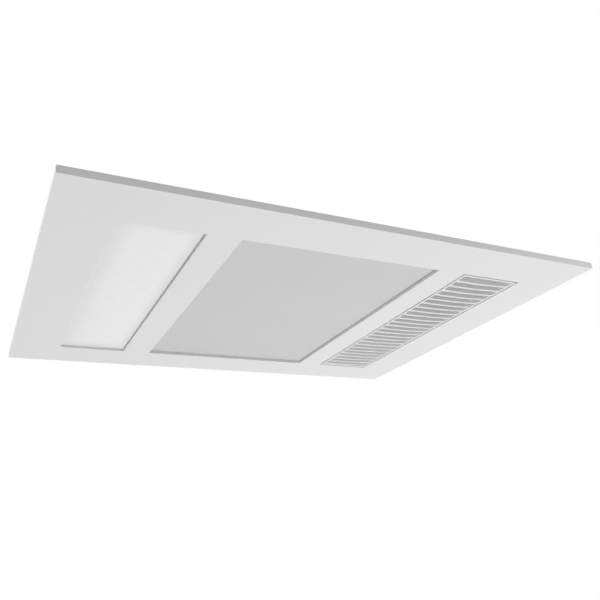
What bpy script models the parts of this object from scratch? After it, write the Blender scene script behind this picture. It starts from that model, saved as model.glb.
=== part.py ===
"""Bathroom ceiling unit with a fan heater, an exhaust fan and a panel light.

Metres, +Z up. The origin is at the centre of the cut-out, in the plane of the ceiling's
underside. X runs from the light to the heater's grille, and Y from the near end to the far end.
"""

import math

import bmesh
import bpy
from mathutils import Matrix

# Shared values
GAP = 0.0003
OVERRUN = 0.003
SINK = 0.0004
SHARP_ANGLE = math.radians(32)
LARGE_SIDES = 36
ROUND_SIDES = 18
SMALL_SIDES = 10

# Fascia moulding
FASCIA_LENGTH = 0.500
FASCIA_WIDTH = 0.400
RIM_HEIGHT = 0.0063
RIM_WALL = 0.0020
FACE_PLATE = 0.0025
LIGHT_WIDTH = 0.070
PANEL_WIDTH = 0.200
GRILLE_WIDTH = 0.070
BAR_WIDTH = 0.030
OPENING_LENGTH = 0.300
RETURN_WALL = 0.0020
RETURN_TOP = 0.0094
RIB_WALL = 0.0016
RIB_HEIGHT = 0.0024
RIB_PITCH = 0.080
TAB_REACH = 0.020
TAB_WIDTH = 0.016
TAB_WALL = 0.0030
TAB_INSET = 0.020
FASCIA_SCREW_RADIUS = 0.0018
SCREW_CLEARANCE = 0.0004
FASCIA_HEAD_RADIUS = 0.0036
FASCIA_HEAD_HEIGHT = 0.0022
FASCIA_SCREW_LENGTH = 0.0090

# Intake panel
PANEL_RECESS = 0.0033
SCREEN_SHEET = 0.0008
PANEL_CLEARANCE = 0.0003
HINGE_EDGE_CLEARANCE = 0.0011
PANEL_FRAME_HEIGHT = 0.0039
PANEL_FRAME_WIDTH = 0.012
PANEL_FRAME_INSET = 0.0003
PANEL_RIB_WIDTH = 0.003
PANEL_BAYS = 3
PANEL_PIN_RADIUS = 0.0010
PANEL_PIN_REACH = 0.0020
PANEL_HINGE_INSET = 0.0040
PANEL_HINGE_RISE = 0.0013
CATCH_PLACE = 0.060
CATCH_LENGTH = 0.016
CATCH_WIDTH = 0.010
STRIKE_SHEET = 0.0008

# Outlet grille
GRILLE_CLEARANCE = 0.0010
GRILLE_FRAME_WIDTH = 0.0030
BLADE_COUNT = 25
BLADE_END_ROOM = 0.012
BLADE_EDGE = 0.0018
BLADE_TOP_EDGE = 0.0012
BLADE_LEAN = 0.0047
BLADE_TOP = 0.0070
BLADE_BOW_RADIUS = 0.540
BLADE_LOW_POINT = 0.017
BLADE_STEPS = 4

# Panel light
DIFFUSER_RECESS = 0.0025
DIFFUSER_SHEET = 0.0020
DIFFUSER_CLEARANCE = 0.0003
SEAL_WIDTH = 0.0040
SEAL_HEIGHT = 0.0015
TRAY_CLEARANCE = 0.0008
TRAY_HEIGHT = 0.022
TRAY_SHEET = 0.0010
TRAY_EAR_LENGTH = 0.014
TRAY_EAR_INSET = 0.060
BOARD_WIDTH = 0.050
BOARD_END_ROOM = 0.010
BOARD_SHEET = 0.0014
LED_SIZE = 0.0035
LED_HEIGHT = 0.0010
LED_ROWS = 2
LED_PER_ROW = 10
DRIVER_LENGTH = 0.110
DRIVER_WIDTH = 0.040
DRIVER_HEIGHT = 0.026
DRIVER_END_ROOM = 0.001
DRIVER_FOOT = 0.012
DRIVER_FOOT_HEIGHT = 0.002
DRIVER_BEVEL = 0.002

# Casing of folded sheet
MOUTH_CLEARANCE = 0.0030
SHEET = 0.0010
FOLD_RADIUS = 0.0015
CASING_HEIGHT = 0.160
CASING_FLANGE = 0.018
END_LIP = 0.012
FIXING_HOLE_RADIUS = 0.0025
FIXING_HOLE_PLACE = 0.100
BEAD_WIDTH = 0.012
BEAD_HEIGHT = 0.0015
BEAD_END_ROOM = 0.045
BEAD_PITCH = 0.110

# Cross rails
RAIL_SHEET = 0.0012
RAIL_WIDTH = 0.024
RAIL_FLANGE = 0.013
RAIL_FLANGE_SHORT = 0.029
RAIL_TAB_WIDTH = 0.020

# Ceiling clamps
CLAMP_PLACE_IN = 0.008
CLAMP_SCREW_RADIUS = 0.0025
CLAMP_SCREW_TOP = 0.052
CLAMP_HEAD_RADIUS = 0.0045
CLAMP_HEAD_HEIGHT = 0.0030
CLAMP_CLIP_RADIUS = 0.0042
CLAMP_CLIP_HEIGHT = 0.0009
CEILING_BOARD = 0.013
ARM_HUB_RADIUS = 0.0062
ARM_HUB_HEIGHT = 0.010
ARM_DROP = 0.004
ARM_REACH = 0.038
ARM_WIDTH = 0.010
ARM_THICKNESS = 0.006
FOOT_LENGTH = 0.010
ARM_TRAVEL_UP = 0.017
ARM_TRAVEL_DOWN = 0.0030
WINDOW_CLEARANCE = 0.0010

# Exhaust fan
FAN_X = 0.0
FAN_Y = -0.010
SCROLL_START = 0.082
SCROLL_END_ROOM = 0.019
SCROLL_SIDE_ROOM = 0.008
TONGUE_ANGLE = 140
OUTLET_ANGLE = 450
SCROLL_STEPS = 24
SCROLL_SHEET = 0.0012
SCROLL_FLANGE = 0.006
SCROLL_FLANGE_TURN = 10
TONGUE_RADIUS = 0.005
INLET_PLATE_Z = 0.060
INLET_RADIUS = 0.058
BELL_FLARE = 0.006
BELL_HEIGHT = 0.010
IMPELLER_RADIUS = 0.075
IMPELLER_INNER = 0.062
IMPELLER_BLADES = 24
IMPELLER_BLADE_WALL = 0.0010
IMPELLER_BLADE_TURN = 9
IMPELLER_LOW = 0.073
IMPELLER_RING = 0.003
IMPELLER_BACK_Z = 0.143
IMPELLER_BACK = 0.002
HUB_RADIUS = 0.014
HUB_LENGTH = 0.020
SHAFT_RADIUS = 0.004
SHAFT_FIT = 0.0003
SHAFT_TOP = 0.151
SHAFT_SEAT = 0.014
FAN_NUT_RADIUS = 0.0075
FAN_NUT_HEIGHT = 0.0045
MOTOR_RADIUS = 0.040
MOTOR_HEIGHT = 0.052
MOTOR_BEVEL = 0.004
MOTOR_BOSS_RADIUS = 0.012
MOTOR_BOSS_HEIGHT = 0.005
BRACKET_RADIUS = 0.030
BRACKET_WALL = 0.0030
BRACKET_ARM_WIDTH = 0.012
BRACKET_LAP = 0.008
BRACKET_ARMS = 3

# Duct spigot and damper
SPIGOT_Z = 0.103
COLLAR_RADIUS = 0.049
COLLAR_INSET = 0.039
COLLAR_WALL = 0.0020
COLLAR_LENGTH = 0.046
COLLAR_LEAD_IN = 0.0010
SPIGOT_FLANGE = 0.108
SPIGOT_FLANGE_WALL = 0.003
SPIGOT_CORNER = 0.008
OUTLET_HOLE_INSET = 0.001
FLAP_CLEARANCE = 0.0015
FLAP_WALL = 0.0012
FLAP_AXIS_RISE = 0.008
FLAP_AXIS_OUT = 0.020
FLAP_BARREL_RADIUS = 0.0026
FLAP_PIN_RADIUS = 0.00125
FLAP_BARREL_CLEARANCE = 0.0015
FLAP_STOP_WIDTH = 0.010
FLAP_STOP_DEPTH = 0.003
FLAP_STOP_HEIGHT = 0.0055

# Heater: duct, element and blower
DUCT_WIDTH = 0.052
DUCT_SHEET = 0.0012
DUCT_NEAR_ROOM = 0.062
DUCT_FAR_ROOM = 0.016
DUCT_TOP = 0.044
DUCT_FOLD = 0.014
DUCT_PLATE_ROOM = 0.0015
DUCT_EDGE_CLEARANCE = 0.0008
ELEMENT_LOW = 0.018
ELEMENT_HEIGHT = 0.016
ELEMENT_SIDE_CLEARANCE = 0.0005
ELEMENT_BAR = 0.003
ELEMENT_FIN_WALL = 0.0006
ELEMENT_FIN_PITCH = 0.012
ELEMENT_FIN_INSET = 0.001
CAP_LENGTH = 0.008
CAP_MARGIN = 0.002
ROTOR_X_OFFSET = -0.006
ROTOR_Z = 0.084
ROTOR_RADIUS = 0.030
ROTOR_INNER = 0.0235
ROTOR_BLADES = 14
ROTOR_BLADE_WALL = 0.0009
ROTOR_BLADE_TURN = 14
ROTOR_DISC = 0.0016
ROTOR_END_GAP = 0.003
ROTOR_SHAFT_RADIUS = 0.003
BUSH_RADIUS = 0.008
BUSH_LENGTH = 0.006
HOUSING_WALL = 0.0016
HOUSING_START = 0.0335
HOUSING_START_ANGLE = 150
HOUSING_STEPS = 12
HOUSING_TOP_MARGIN = 0.005
TONGUE_GAP = 0.0025
TONGUE_CURL = 0.004
STACK_SIZE = 0.050
STACK_CORNER = 0.007
STACK_LENGTH = 0.022
STACK_POST_RADIUS = 0.003
STACK_POST_LENGTH = 0.005
COIL_WIDTH = 0.026
COIL_HEIGHT = 0.014
COIL_LENGTH = 0.030
CUTOUT_RADIUS = 0.008
CUTOUT_LENGTH = 0.006
CUTOUT_TAB = 0.005
CUTOUT_TAB_WALL = 0.0008
CUTOUT_TAB_REACH = 0.006

# Wiring box and leads
WIRING_WIDTH = 0.090
WIRING_DEPTH = 0.032
WIRING_HEIGHT = 0.050
WIRING_Z = 0.117
WIRING_WALL = 0.002
COVER_WALL = 0.0025
COVER_LIP = 0.003
BLOCK_LENGTH = 0.060
BLOCK_DEPTH = 0.016
BLOCK_HEIGHT = 0.018
BLOCK_POLES = 5
BLOCK_SLOT = 0.002
BLOCK_SLOT_DEPTH = 0.006
GROMMET_RADIUS = 0.008
GROMMET_BORE = 0.0055
GROMMET_LIP = 0.002
GROMMET_LIP_WALL = 0.0015
GLAND_THREAD_RADIUS = 0.008
GLAND_HEX_RADIUS = 0.0125
GLAND_HEX_LENGTH = 0.006
GLAND_DOME_RADIUS = 0.0105
GLAND_DOME_LENGTH = 0.014
GLAND_BORE = 0.0045
GLAND_NUT_LENGTH = 0.004
COVER_SCREW_INSET = 0.007
COVER_SCREW_RADIUS = 0.0015
COVER_POST_RADIUS = 0.003
COVER_SCREW_HEAD = 0.003
COVER_SCREW_HEAD_HEIGHT = 0.0018
COVER_SCREW_LENGTH = 0.009

# Places that follow from the values above
FACE_Z = -RIM_HEIGHT
SPAN = LIGHT_WIDTH + PANEL_WIDTH + GRILLE_WIDTH + 2 * BAR_WIDTH
LIGHT_X = (-SPAN / 2, -SPAN / 2 + LIGHT_WIDTH)
PANEL_X = (LIGHT_X[1] + BAR_WIDTH, LIGHT_X[1] + BAR_WIDTH + PANEL_WIDTH)
GRILLE_X = (PANEL_X[1] + BAR_WIDTH, PANEL_X[1] + BAR_WIDTH + GRILLE_WIDTH)
OPENING_Y = (-OPENING_LENGTH / 2, OPENING_LENGTH / 2)
LIGHT_CENTRE = sum(LIGHT_X) / 2
PANEL_CENTRE = sum(PANEL_X) / 2
GRILLE_CENTRE = sum(GRILLE_X) / 2
LEFT_BAR = (LIGHT_X[1] + PANEL_X[0]) / 2
RIGHT_BAR = (PANEL_X[1] + GRILLE_X[0]) / 2
INNER_X = SPAN / 2 + RETURN_WALL + MOUTH_CLEARANCE
INNER_Y = OPENING_LENGTH / 2 + RETURN_WALL + MOUTH_CLEARANCE
OUTER_X = INNER_X + SHEET
OUTER_Y = INNER_Y + SHEET
PLATE_BACK_Z = FACE_Z + FACE_PLATE
TAB_PLACE = OPENING_LENGTH / 2 - TAB_INSET
TAB_Z = (RETURN_TOP - TAB_WALL, RETURN_TOP)
RAIL_Z = (RETURN_TOP + GAP, RETURN_TOP + GAP + RAIL_SHEET)
SCREEN_Z = (FACE_Z + PANEL_RECESS, FACE_Z + PANEL_RECESS + SCREEN_SHEET)
PANEL_FRAME_Z = (SCREEN_Z[1] + GAP, SCREEN_Z[1] + GAP + PANEL_FRAME_HEIGHT)
STRIKE_Z = (PANEL_FRAME_Z[1] + GAP, PANEL_FRAME_Z[1] + GAP + STRIKE_SHEET)
PANEL_HINGE_X = PANEL_X[0] + PANEL_HINGE_INSET
PANEL_HINGE_Z = PANEL_FRAME_Z[0] + PANEL_HINGE_RISE
BLADE_PITCH = (OPENING_LENGTH - 2 * BLADE_END_ROOM) / (BLADE_COUNT - 1)
TRAY_EAR_PLACE = OPENING_LENGTH / 2 - TRAY_EAR_INSET
BOARD_LENGTH = OPENING_LENGTH - 2 * BOARD_END_ROOM
LIP_Y = INNER_Y - END_LIP
DRIVER_PLACE = DRIVER_LENGTH / 2 + DRIVER_FOOT + DRIVER_END_ROOM - LIP_Y
BEAD_LENGTH = 2 * (INNER_Y - BEAD_END_ROOM)
CLAMP_Y = INNER_Y - CLAMP_PLACE_IN
RAIL_FLANGE_END = CLAMP_Y - RAIL_FLANGE_SHORT
ARM_Z = CEILING_BOARD + ARM_DROP
CLAMP_SIDES = ((-1, -1), (1, -1), (-1, 1), (1, 1))
ROTOR_X = GRILLE_CENTRE + ROTOR_X_OFFSET
SCROLL_TOP = CASING_HEIGHT - SHEET - GAP
SCROLL_LONG = LIP_Y - SCROLL_FLANGE - SCROLL_END_ROOM - FAN_Y
SCROLL_RIGHT = ROTOR_X - ROTOR_RADIUS - SCROLL_SIDE_ROOM - SCROLL_FLANGE - FAN_X
SCROLL_RIGHT_SHARE = (360 - TONGUE_ANGLE) / (OUTLET_ANGLE - TONGUE_ANGLE)
SCROLL_WIDE = SCROLL_START + (SCROLL_RIGHT - SCROLL_START) / SCROLL_RIGHT_SHARE
SCROLL_END = min(SCROLL_LONG, SCROLL_WIDE)
SPIGOT_Y = FAN_Y + SCROLL_END - COLLAR_INSET
OUTLET_X = -(INNER_X - GAP)
MOTOR_Z = INLET_PLATE_Z
FLAP_X = -(OUTER_X + GAP) - FLAP_AXIS_OUT
FLAP_Z = SPIGOT_Z + FLAP_AXIS_RISE
DUCT_X = (GRILLE_CENTRE - DUCT_WIDTH / 2, GRILLE_CENTRE + DUCT_WIDTH / 2)
DUCT_NEAR = DUCT_NEAR_ROOM - INNER_Y
DUCT_FAR = INNER_Y - DUCT_FAR_ROOM
DUCT_PLATE_END = INNER_Y - DUCT_PLATE_ROOM
HOUSING_Z = DUCT_TOP + GAP
WIRING_Y = -(OUTER_Y + GAP)


def clear_scene():
    for item in list(bpy.data.objects):
        bpy.data.objects.remove(item, do_unlink=True)


def box(x, y, z):
    return prism([(x[0], y[0]), (x[1], y[0]), (x[1], y[1]), (x[0], y[1])], z[0], z[1])


def span(middle, length):
    return (middle - length / 2, middle + length / 2)


def placed(a, b, c, axis):
    """The point whose place along the axis is c, and across it a and b."""
    if axis == "X":
        return (c, a, b)
    if axis == "Y":
        return (a, c, b)
    return (a, b, c)


def prism(outline, low, high, axis="Z"):
    """An outline carried along an axis. Outlines are in (x, y), (x, z) or (y, z)."""
    count = len(outline)
    points = [placed(a, b, low, axis) for a, b in outline]
    points += [placed(a, b, high, axis) for a, b in outline]
    faces = [list(range(count))[::-1], list(range(count, 2 * count))]
    for i in range(count):
        j = (i + 1) % count
        faces.append([i, j, j + count, i + count])
    return points, faces


def revolve(profile, centre, axis="Z", sides=ROUND_SIDES):
    """A closed profile of (radius, place along the axis) turned about the axis through centre."""
    points = []
    rings = []
    for radius, along in profile:
        steps = sides if radius > 0 else 1
        rings.append([len(points) + i for i in range(steps)])
        for i in range(steps):
            turn = 2 * math.pi * i / sides
            a = centre[0] + radius * math.cos(turn)
            b = centre[1] + radius * math.sin(turn)
            points.append(placed(a, b, along, axis))
    faces = []
    for here, there in zip(rings, rings[1:] + rings[:1]):
        for i in range(sides):
            corners = [
                here[i % len(here)],
                here[(i + 1) % len(here)],
                there[(i + 1) % len(there)],
                there[i % len(there)],
            ]
            face = list(dict.fromkeys(corners))
            if len(face) > 2:
                faces.append(face)
    return points, faces


def rod(radius, low, high, centre, axis="Z", sides=SMALL_SIDES):
    return revolve([(0, low), (radius, low), (radius, high), (0, high)], centre, axis, sides)


def ring(inner, outer, low, high, centre, axis="Z", sides=ROUND_SIDES):
    profile = [(inner, low), (outer, low), (outer, high), (inner, high)]
    return revolve(profile, centre, axis, sides)


def joined(shapes):
    """Shapes that don't meet, as one set of points and faces."""
    points = []
    faces = []
    for more_points, more_faces in shapes:
        start = len(points)
        points += more_points
        faces += [[start + i for i in face] for face in more_faces]
    return points, faces


def arc(centre, radius, start, end, steps):
    """Points on a circle from one angle to another, in degrees."""
    turns = [math.radians(start + (end - start) * i / steps) for i in range(steps + 1)]
    return [(centre[0] + radius * math.cos(t), centre[1] + radius * math.sin(t)) for t in turns]


def rounded(outline, radius, steps=3):
    """A convex outline, anticlockwise, with each corner turned to an arc."""
    result = []
    count = len(outline)
    for i in range(count):
        result += fillet(outline[i - 1], outline[i], outline[(i + 1) % count], radius, steps)
    return result


def direction(start, end):
    length = math.hypot(end[0] - start[0], end[1] - start[1])
    return ((end[0] - start[0]) / length, (end[1] - start[1]) / length)


def fillet(before, corner, after, radius, steps):
    """The points of an arc that rounds a corner."""
    came = direction(before, corner)
    goes = direction(corner, after)
    turn = math.atan2(came[0] * goes[1] - came[1] * goes[0], came[0] * goes[0] + came[1] * goes[1])
    back = radius * math.tan(abs(turn) / 2)
    side = math.copysign(1, turn)
    start = (corner[0] - came[0] * back, corner[1] - came[1] * back)
    centre = (start[0] - came[1] * side * radius, start[1] + came[0] * side * radius)
    first = math.degrees(math.atan2(start[1] - centre[1], start[0] - centre[0]))
    return arc(centre, radius, first, first + math.degrees(turn), steps)


def folded(path, radius, steps=2, least_turn=30):
    """An open path with its sharp corners rounded."""
    result = [path[0]]
    for before, corner, after in zip(path, path[1:], path[2:]):
        came = direction(before, corner)
        goes = direction(corner, after)
        straight = math.cos(math.radians(least_turn))
        if came[0] * goes[0] + came[1] * goes[1] > straight:
            result.append(corner)
        else:
            result += fillet(before, corner, after, radius, steps)
    return result + [path[-1]]


def strip(path, thickness):
    """The outline of a sheet whose middle follows a path."""
    sides = []
    last = len(path) - 1
    for i, point in enumerate(path):
        came = direction(path[max(i - 1, 0)], path[max(i, 1)])
        goes = direction(path[min(i, last - 1)], path[min(i + 1, last)])
        across = (-came[1] - goes[1], came[0] + goes[0])
        share = 1 + came[0] * goes[0] + came[1] * goes[1]
        reach = thickness / 2 / share
        sides.append((point, (across[0] * reach, across[1] * reach)))
    left = [(p[0] + a[0], p[1] + a[1]) for p, a in sides]
    right = [(p[0] - a[0], p[1] - a[1]) for p, a in sides]
    return right + left[::-1]


def rectangle(x, y):
    return [(x[0], y[0]), (x[1], y[0]), (x[1], y[1]), (x[0], y[1])]


def hexagon(centre, radius):
    return arc(centre, radius, 0, 300, 5)


def finish(name, colour, roughness, metallic=0.0, glow=0.0):
    """A plain material with the piece's colour."""
    found = bpy.data.materials.get(name)
    if found:
        return found
    made = bpy.data.materials.new(name)
    made.use_nodes = True
    shader = made.node_tree.nodes["Principled BSDF"]
    shader.inputs["Base Color"].default_value = (*colour, 1.0)
    shader.inputs["Roughness"].default_value = roughness
    shader.inputs["Metallic"].default_value = metallic
    if glow:
        shader.inputs["Emission Color"].default_value = (1.0, 1.0, 1.0, 1.0)
        shader.inputs["Emission Strength"].default_value = glow
    made.diffuse_color = (*colour, 1.0)
    return made


def white_plastic():
    return finish("white_plastic", (0.80, 0.80, 0.80), 0.45)


def screen_finish():
    return finish("screen", (0.60, 0.60, 0.60), 0.55)


def opal():
    return finish("opal", (0.90, 0.90, 0.90), 0.35, glow=0.3)


def zinc_sheet():
    return finish("zinc_sheet", (0.62, 0.64, 0.66), 0.38, 0.9)


def steel():
    return finish("steel", (0.55, 0.56, 0.57), 0.30, 1.0)


def aluminium():
    return finish("aluminium", (0.75, 0.76, 0.77), 0.35, 1.0)


def grey_plastic():
    return finish("grey_plastic", (0.30, 0.31, 0.32), 0.55)


def black_plastic():
    return finish("black_plastic", (0.04, 0.04, 0.045), 0.50)


def rubber():
    return finish("rubber", (0.05, 0.05, 0.05), 0.80)


def board_white():
    return finish("board_white", (0.85, 0.86, 0.84), 0.40)


def tray_paint():
    return finish("tray_paint", (0.85, 0.86, 0.86), 0.50)


def insulator():
    return finish("insulator", (0.30, 0.16, 0.09), 0.60)


def copper():
    return finish("copper", (0.60, 0.26, 0.12), 0.35, 0.9)


def mesh_object(name, shape):
    """An object from points and faces, with its faces turned outward."""
    points, faces = shape
    mesh = bpy.data.meshes.new(name)
    mesh.from_pydata(points, [], faces)
    work = bmesh.new()
    work.from_mesh(mesh)
    bmesh.ops.recalc_face_normals(work, faces=work.faces)
    work.to_mesh(mesh)
    work.free()
    mesh.shade_smooth()
    mesh.set_sharp_from_angle(angle=SHARP_ANGLE)
    made = bpy.data.objects.new(name, mesh)
    bpy.context.scene.collection.objects.link(made)
    return made


def combine(target, shape, operation, index):
    """Adds one Boolean step. The helper that it uses stays out of the render."""
    helper = mesh_object(f"{target.name}_{operation.lower()}_{index}", shape)
    helper.hide_render = True
    helper.display_type = "WIRE"
    step = target.modifiers.new(f"{operation.lower()}_{index}", "BOOLEAN")
    step.operation = operation
    step.object = helper
    step.solver = "EXACT"


def worked(name, material, shape, steps):
    """A shape with Boolean steps in the order given, each an operation and another shape."""
    made = mesh_object(name, shape)
    made.data.materials.append(material)
    for i, (operation, extra) in enumerate(steps):
        combine(made, extra, operation, i)
    return made


def piece(name, material, shape, add=(), cut=(), parent=None):
    """One sub-part: a shape, what is joined to it, and then what is cut from it."""
    steps = [("UNION", extra) for extra in add] + [("DIFFERENCE", extra) for extra in cut]
    made = worked(name, material, shape, steps)
    if parent:
        made.parent = parent
        made.matrix_parent_inverse = Matrix.Translation(parent.location).inverted()
    return made


def pivot(name, location):
    """An empty on a joint's axis, which carries the pieces that move about it."""
    made = bpy.data.objects.new(name, None)
    made.location = location
    bpy.context.scene.collection.objects.link(made)
    return made


def opening_wall(x, y):
    """The return that stands round one opening of the fascia."""
    wall_x = (x[0] - RETURN_WALL, x[1] + RETURN_WALL)
    wall_y = (y[0] - RETURN_WALL, y[1] + RETURN_WALL)
    return box(wall_x, wall_y, (PLATE_BACK_Z - SINK, RETURN_TOP))


def fascia_ribs():
    """Ribs on the back of the face, from the returns to the rim and across the bars."""
    z = (PLATE_BACK_Z - SINK, PLATE_BACK_Z + RIB_HEIGHT)
    rim_x = FASCIA_LENGTH / 2 - RIM_WALL + SINK
    rim_y = FASCIA_WIDTH / 2 - RIM_WALL + SINK
    from_x = SPAN / 2 + RETURN_WALL - SINK
    from_y = OPENING_LENGTH / 2 + RETURN_WALL - SINK
    shapes = []
    per_side = int(FASCIA_WIDTH / 2 / RIB_PITCH)
    for i in range(-per_side + 1, per_side):
        y = span(i * RIB_PITCH, RIB_WALL)
        for x in ((-rim_x, -from_x), (from_x, rim_x)):
            shapes.append(box(x, y, z))
        for bar in (LEFT_BAR, RIGHT_BAR):
            shapes.append(box(span(bar, BAR_WIDTH - 2 * RETURN_WALL + 2 * SINK), y, z))
    for middle in (LIGHT_CENTRE, PANEL_X[0] / 2, PANEL_X[1] / 2, GRILLE_CENTRE):
        x = span(middle, RIB_WALL)
        for y in ((-rim_y, -from_y), (from_y, rim_y)):
            shapes.append(box(x, y, z))
    return joined(shapes)


def tab_places():
    """The centres of the four tabs that take the fascia's screws."""
    reach = PANEL_WIDTH / 2 - TAB_REACH / 2
    return [(PANEL_CENTRE + side * reach, end * TAB_PLACE) for side, end in CLAMP_SIDES]


def make_fascia():
    """The moulding that shows in the room: face, rim, three openings with returns, ribs and tabs."""
    outer = box(span(0, FASCIA_LENGTH), span(0, FASCIA_WIDTH), (FACE_Z, 0))
    pocket_x = span(0, FASCIA_LENGTH - 2 * RIM_WALL)
    pocket_y = span(0, FASCIA_WIDTH - 2 * RIM_WALL)
    pocket = box(pocket_x, pocket_y, (PLATE_BACK_Z, OVERRUN))
    walls = joined([opening_wall(x, OPENING_Y) for x in (LIGHT_X, PANEL_X, GRILLE_X)])
    way_z = (FACE_Z - OVERRUN, RETURN_TOP + OVERRUN)
    holes = joined([box(x, OPENING_Y, way_z) for x in (LIGHT_X, PANEL_X, GRILLE_X)])
    steps = [
        ("DIFFERENCE", pocket),
        ("UNION", walls),
        ("UNION", fascia_ribs()),
        ("DIFFERENCE", holes),
        ("UNION", joined(fascia_tabs())),
        ("DIFFERENCE", joined(fascia_holes())),
    ]
    worked("fascia", white_plastic(), outer, steps)


def fascia_tabs():
    """Tabs inside the middle opening: four for the screws and two for the magnets."""
    shapes = []
    for x, y in tab_places():
        side = math.copysign(1, x - PANEL_CENTRE)
        reach = sorted((x - side * TAB_REACH / 2, x + side * (TAB_REACH / 2 + SINK)))
        shapes.append(box(reach, span(y, TAB_WIDTH), TAB_Z))
    for end in (-1, 1):
        x = (PANEL_X[1] - CATCH_WIDTH, PANEL_X[1] + SINK)
        shapes.append(box(x, span(end * CATCH_PLACE, CATCH_LENGTH), TAB_Z))
    return shapes


def fascia_holes():
    """Screw holes in the tabs and the hinge holes in the opening's end walls."""
    z = (TAB_Z[0] - OVERRUN, TAB_Z[1] + OVERRUN)
    shapes = [rod(FASCIA_SCREW_RADIUS + SCREW_CLEARANCE, *z, place) for place in tab_places()]
    for end in (-1, 1):
        y = sorted((end * (OPENING_LENGTH / 2 - OVERRUN / 2), end * (OPENING_LENGTH / 2 + OVERRUN)))
        shapes.append(rod(PANEL_PIN_RADIUS + GAP, *y, (PANEL_HINGE_X, PANEL_HINGE_Z), "Y"))
    return shapes


def make_fascia_screws():
    for number, place in enumerate(tab_places(), 1):
        low = TAB_Z[0] - GAP
        head = rod(FASCIA_HEAD_RADIUS, low - FASCIA_HEAD_HEIGHT, low, place)
        shank = rod(FASCIA_SCREW_RADIUS, low - SINK, low + FASCIA_SCREW_LENGTH, place)
        piece(f"fascia_screw_{number}", steel(), head, add=[shank])


def make_intake_panel():
    """The screen that closes the middle opening, on a frame that hangs on two pins at its left edge."""
    axis = pivot("intake_panel_axis", (PANEL_HINGE_X, 0, PANEL_HINGE_Z))
    screen_x = (PANEL_X[0] + HINGE_EDGE_CLEARANCE, PANEL_X[1] - PANEL_CLEARANCE)
    screen_y = span(0, OPENING_LENGTH - 2 * PANEL_CLEARANCE)
    piece("intake_screen", screen_finish(), box(screen_x, screen_y, SCREEN_Z), parent=axis)
    frame_x = (screen_x[0] + PANEL_FRAME_INSET, screen_x[1] - PANEL_FRAME_INSET)
    frame_y = (screen_y[0] + PANEL_FRAME_INSET, screen_y[1] - PANEL_FRAME_INSET)
    bays = []
    bay_span = (frame_y[1] - frame_y[0] - 2 * PANEL_FRAME_WIDTH + PANEL_RIB_WIDTH) / PANEL_BAYS
    for i in range(PANEL_BAYS):
        low = frame_y[0] + PANEL_FRAME_WIDTH + i * bay_span
        x = (frame_x[0] + PANEL_FRAME_WIDTH, frame_x[1] - PANEL_FRAME_WIDTH)
        z = (PANEL_FRAME_Z[0] - OVERRUN, PANEL_FRAME_Z[1] + OVERRUN)
        bays.append(box(x, (low, low + bay_span - PANEL_RIB_WIDTH), z))
    pins = []
    for end in (-1, 1):
        y = sorted((end * (frame_y[1] - PANEL_PIN_REACH), end * (frame_y[1] + PANEL_PIN_REACH)))
        pins.append(rod(PANEL_PIN_RADIUS, *y, (PANEL_HINGE_X, PANEL_HINGE_Z), "Y"))
    shape = box(frame_x, frame_y, PANEL_FRAME_Z)
    piece("intake_frame", white_plastic(), shape, add=[joined(pins)], cut=[joined(bays)], parent=axis)
    for name, end in (("near", -1), ("far", 1)):
        x = (frame_x[1] - CATCH_WIDTH, frame_x[1])
        y = span(end * CATCH_PLACE, CATCH_LENGTH)
        piece(f"strike_plate_{name}", steel(), box(x, y, STRIKE_Z), parent=axis)
        low = STRIKE_Z[1] + GAP
        magnet_x = (PANEL_X[1] - CATCH_WIDTH, PANEL_X[1] - GAP)
        shape = box(magnet_x, y, (low, TAB_Z[0] - GAP))
        piece(f"catch_magnet_{name}", black_plastic(), shape)


def blade(index):
    """One louvre blade: its lower edge is bowed towards the room, and it leans to the far side."""
    middle = (index - (BLADE_COUNT - 1) / 2) * BLADE_PITCH
    x0 = GRILLE_X[0] + GRILLE_CLEARANCE + GRILLE_FRAME_WIDTH - SINK * 2
    x1 = GRILLE_X[1] - GRILLE_CLEARANCE - GRILLE_FRAME_WIDTH + SINK * 2
    low_x = GRILLE_X[0] + BLADE_LOW_POINT
    slope = BLADE_LEAN / (BLADE_TOP - FACE_Z)
    points = []
    for i in range(BLADE_STEPS + 1):
        x = x0 + (x1 - x0) * i / BLADE_STEPS
        low = FACE_Z + BLADE_BOW_RADIUS - math.sqrt(BLADE_BOW_RADIUS**2 - (x - low_x) ** 2)
        y = middle + (BLADE_TOP - low) * slope
        points += [
            (x, y - BLADE_EDGE / 2, low),
            (x, y + BLADE_EDGE / 2, low),
            (x, middle + BLADE_TOP_EDGE / 2, BLADE_TOP),
            (x, middle - BLADE_TOP_EDGE / 2, BLADE_TOP),
        ]
    last = len(points) - 4
    faces = [[0, 1, 2, 3], [last + 3, last + 2, last + 1, last]]
    for i in range(BLADE_STEPS):
        for j in range(4):
            a = 4 * i + j
            b = 4 * i + (j + 1) % 4
            faces.append([a, a + 4, b + 4, b])
    return points, faces


def make_grille():
    """The heater's outlet: a thin frame and bowed blades in one moulding."""
    x = (GRILLE_X[0] + GRILLE_CLEARANCE, GRILLE_X[1] - GRILLE_CLEARANCE)
    y = (OPENING_Y[0] + GRILLE_CLEARANCE, OPENING_Y[1] - GRILLE_CLEARANCE)
    inner = box(
        (x[0] + GRILLE_FRAME_WIDTH, x[1] - GRILLE_FRAME_WIDTH),
        (y[0] + GRILLE_FRAME_WIDTH, y[1] - GRILLE_FRAME_WIDTH),
        (FACE_Z - OVERRUN, RETURN_TOP + OVERRUN),
    )
    blades = joined([blade(i) for i in range(BLADE_COUNT)])
    steps = [("DIFFERENCE", inner), ("UNION", blades)]
    worked("outlet_grille", white_plastic(), box(x, y, (FACE_Z, RETURN_TOP)), steps)


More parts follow.
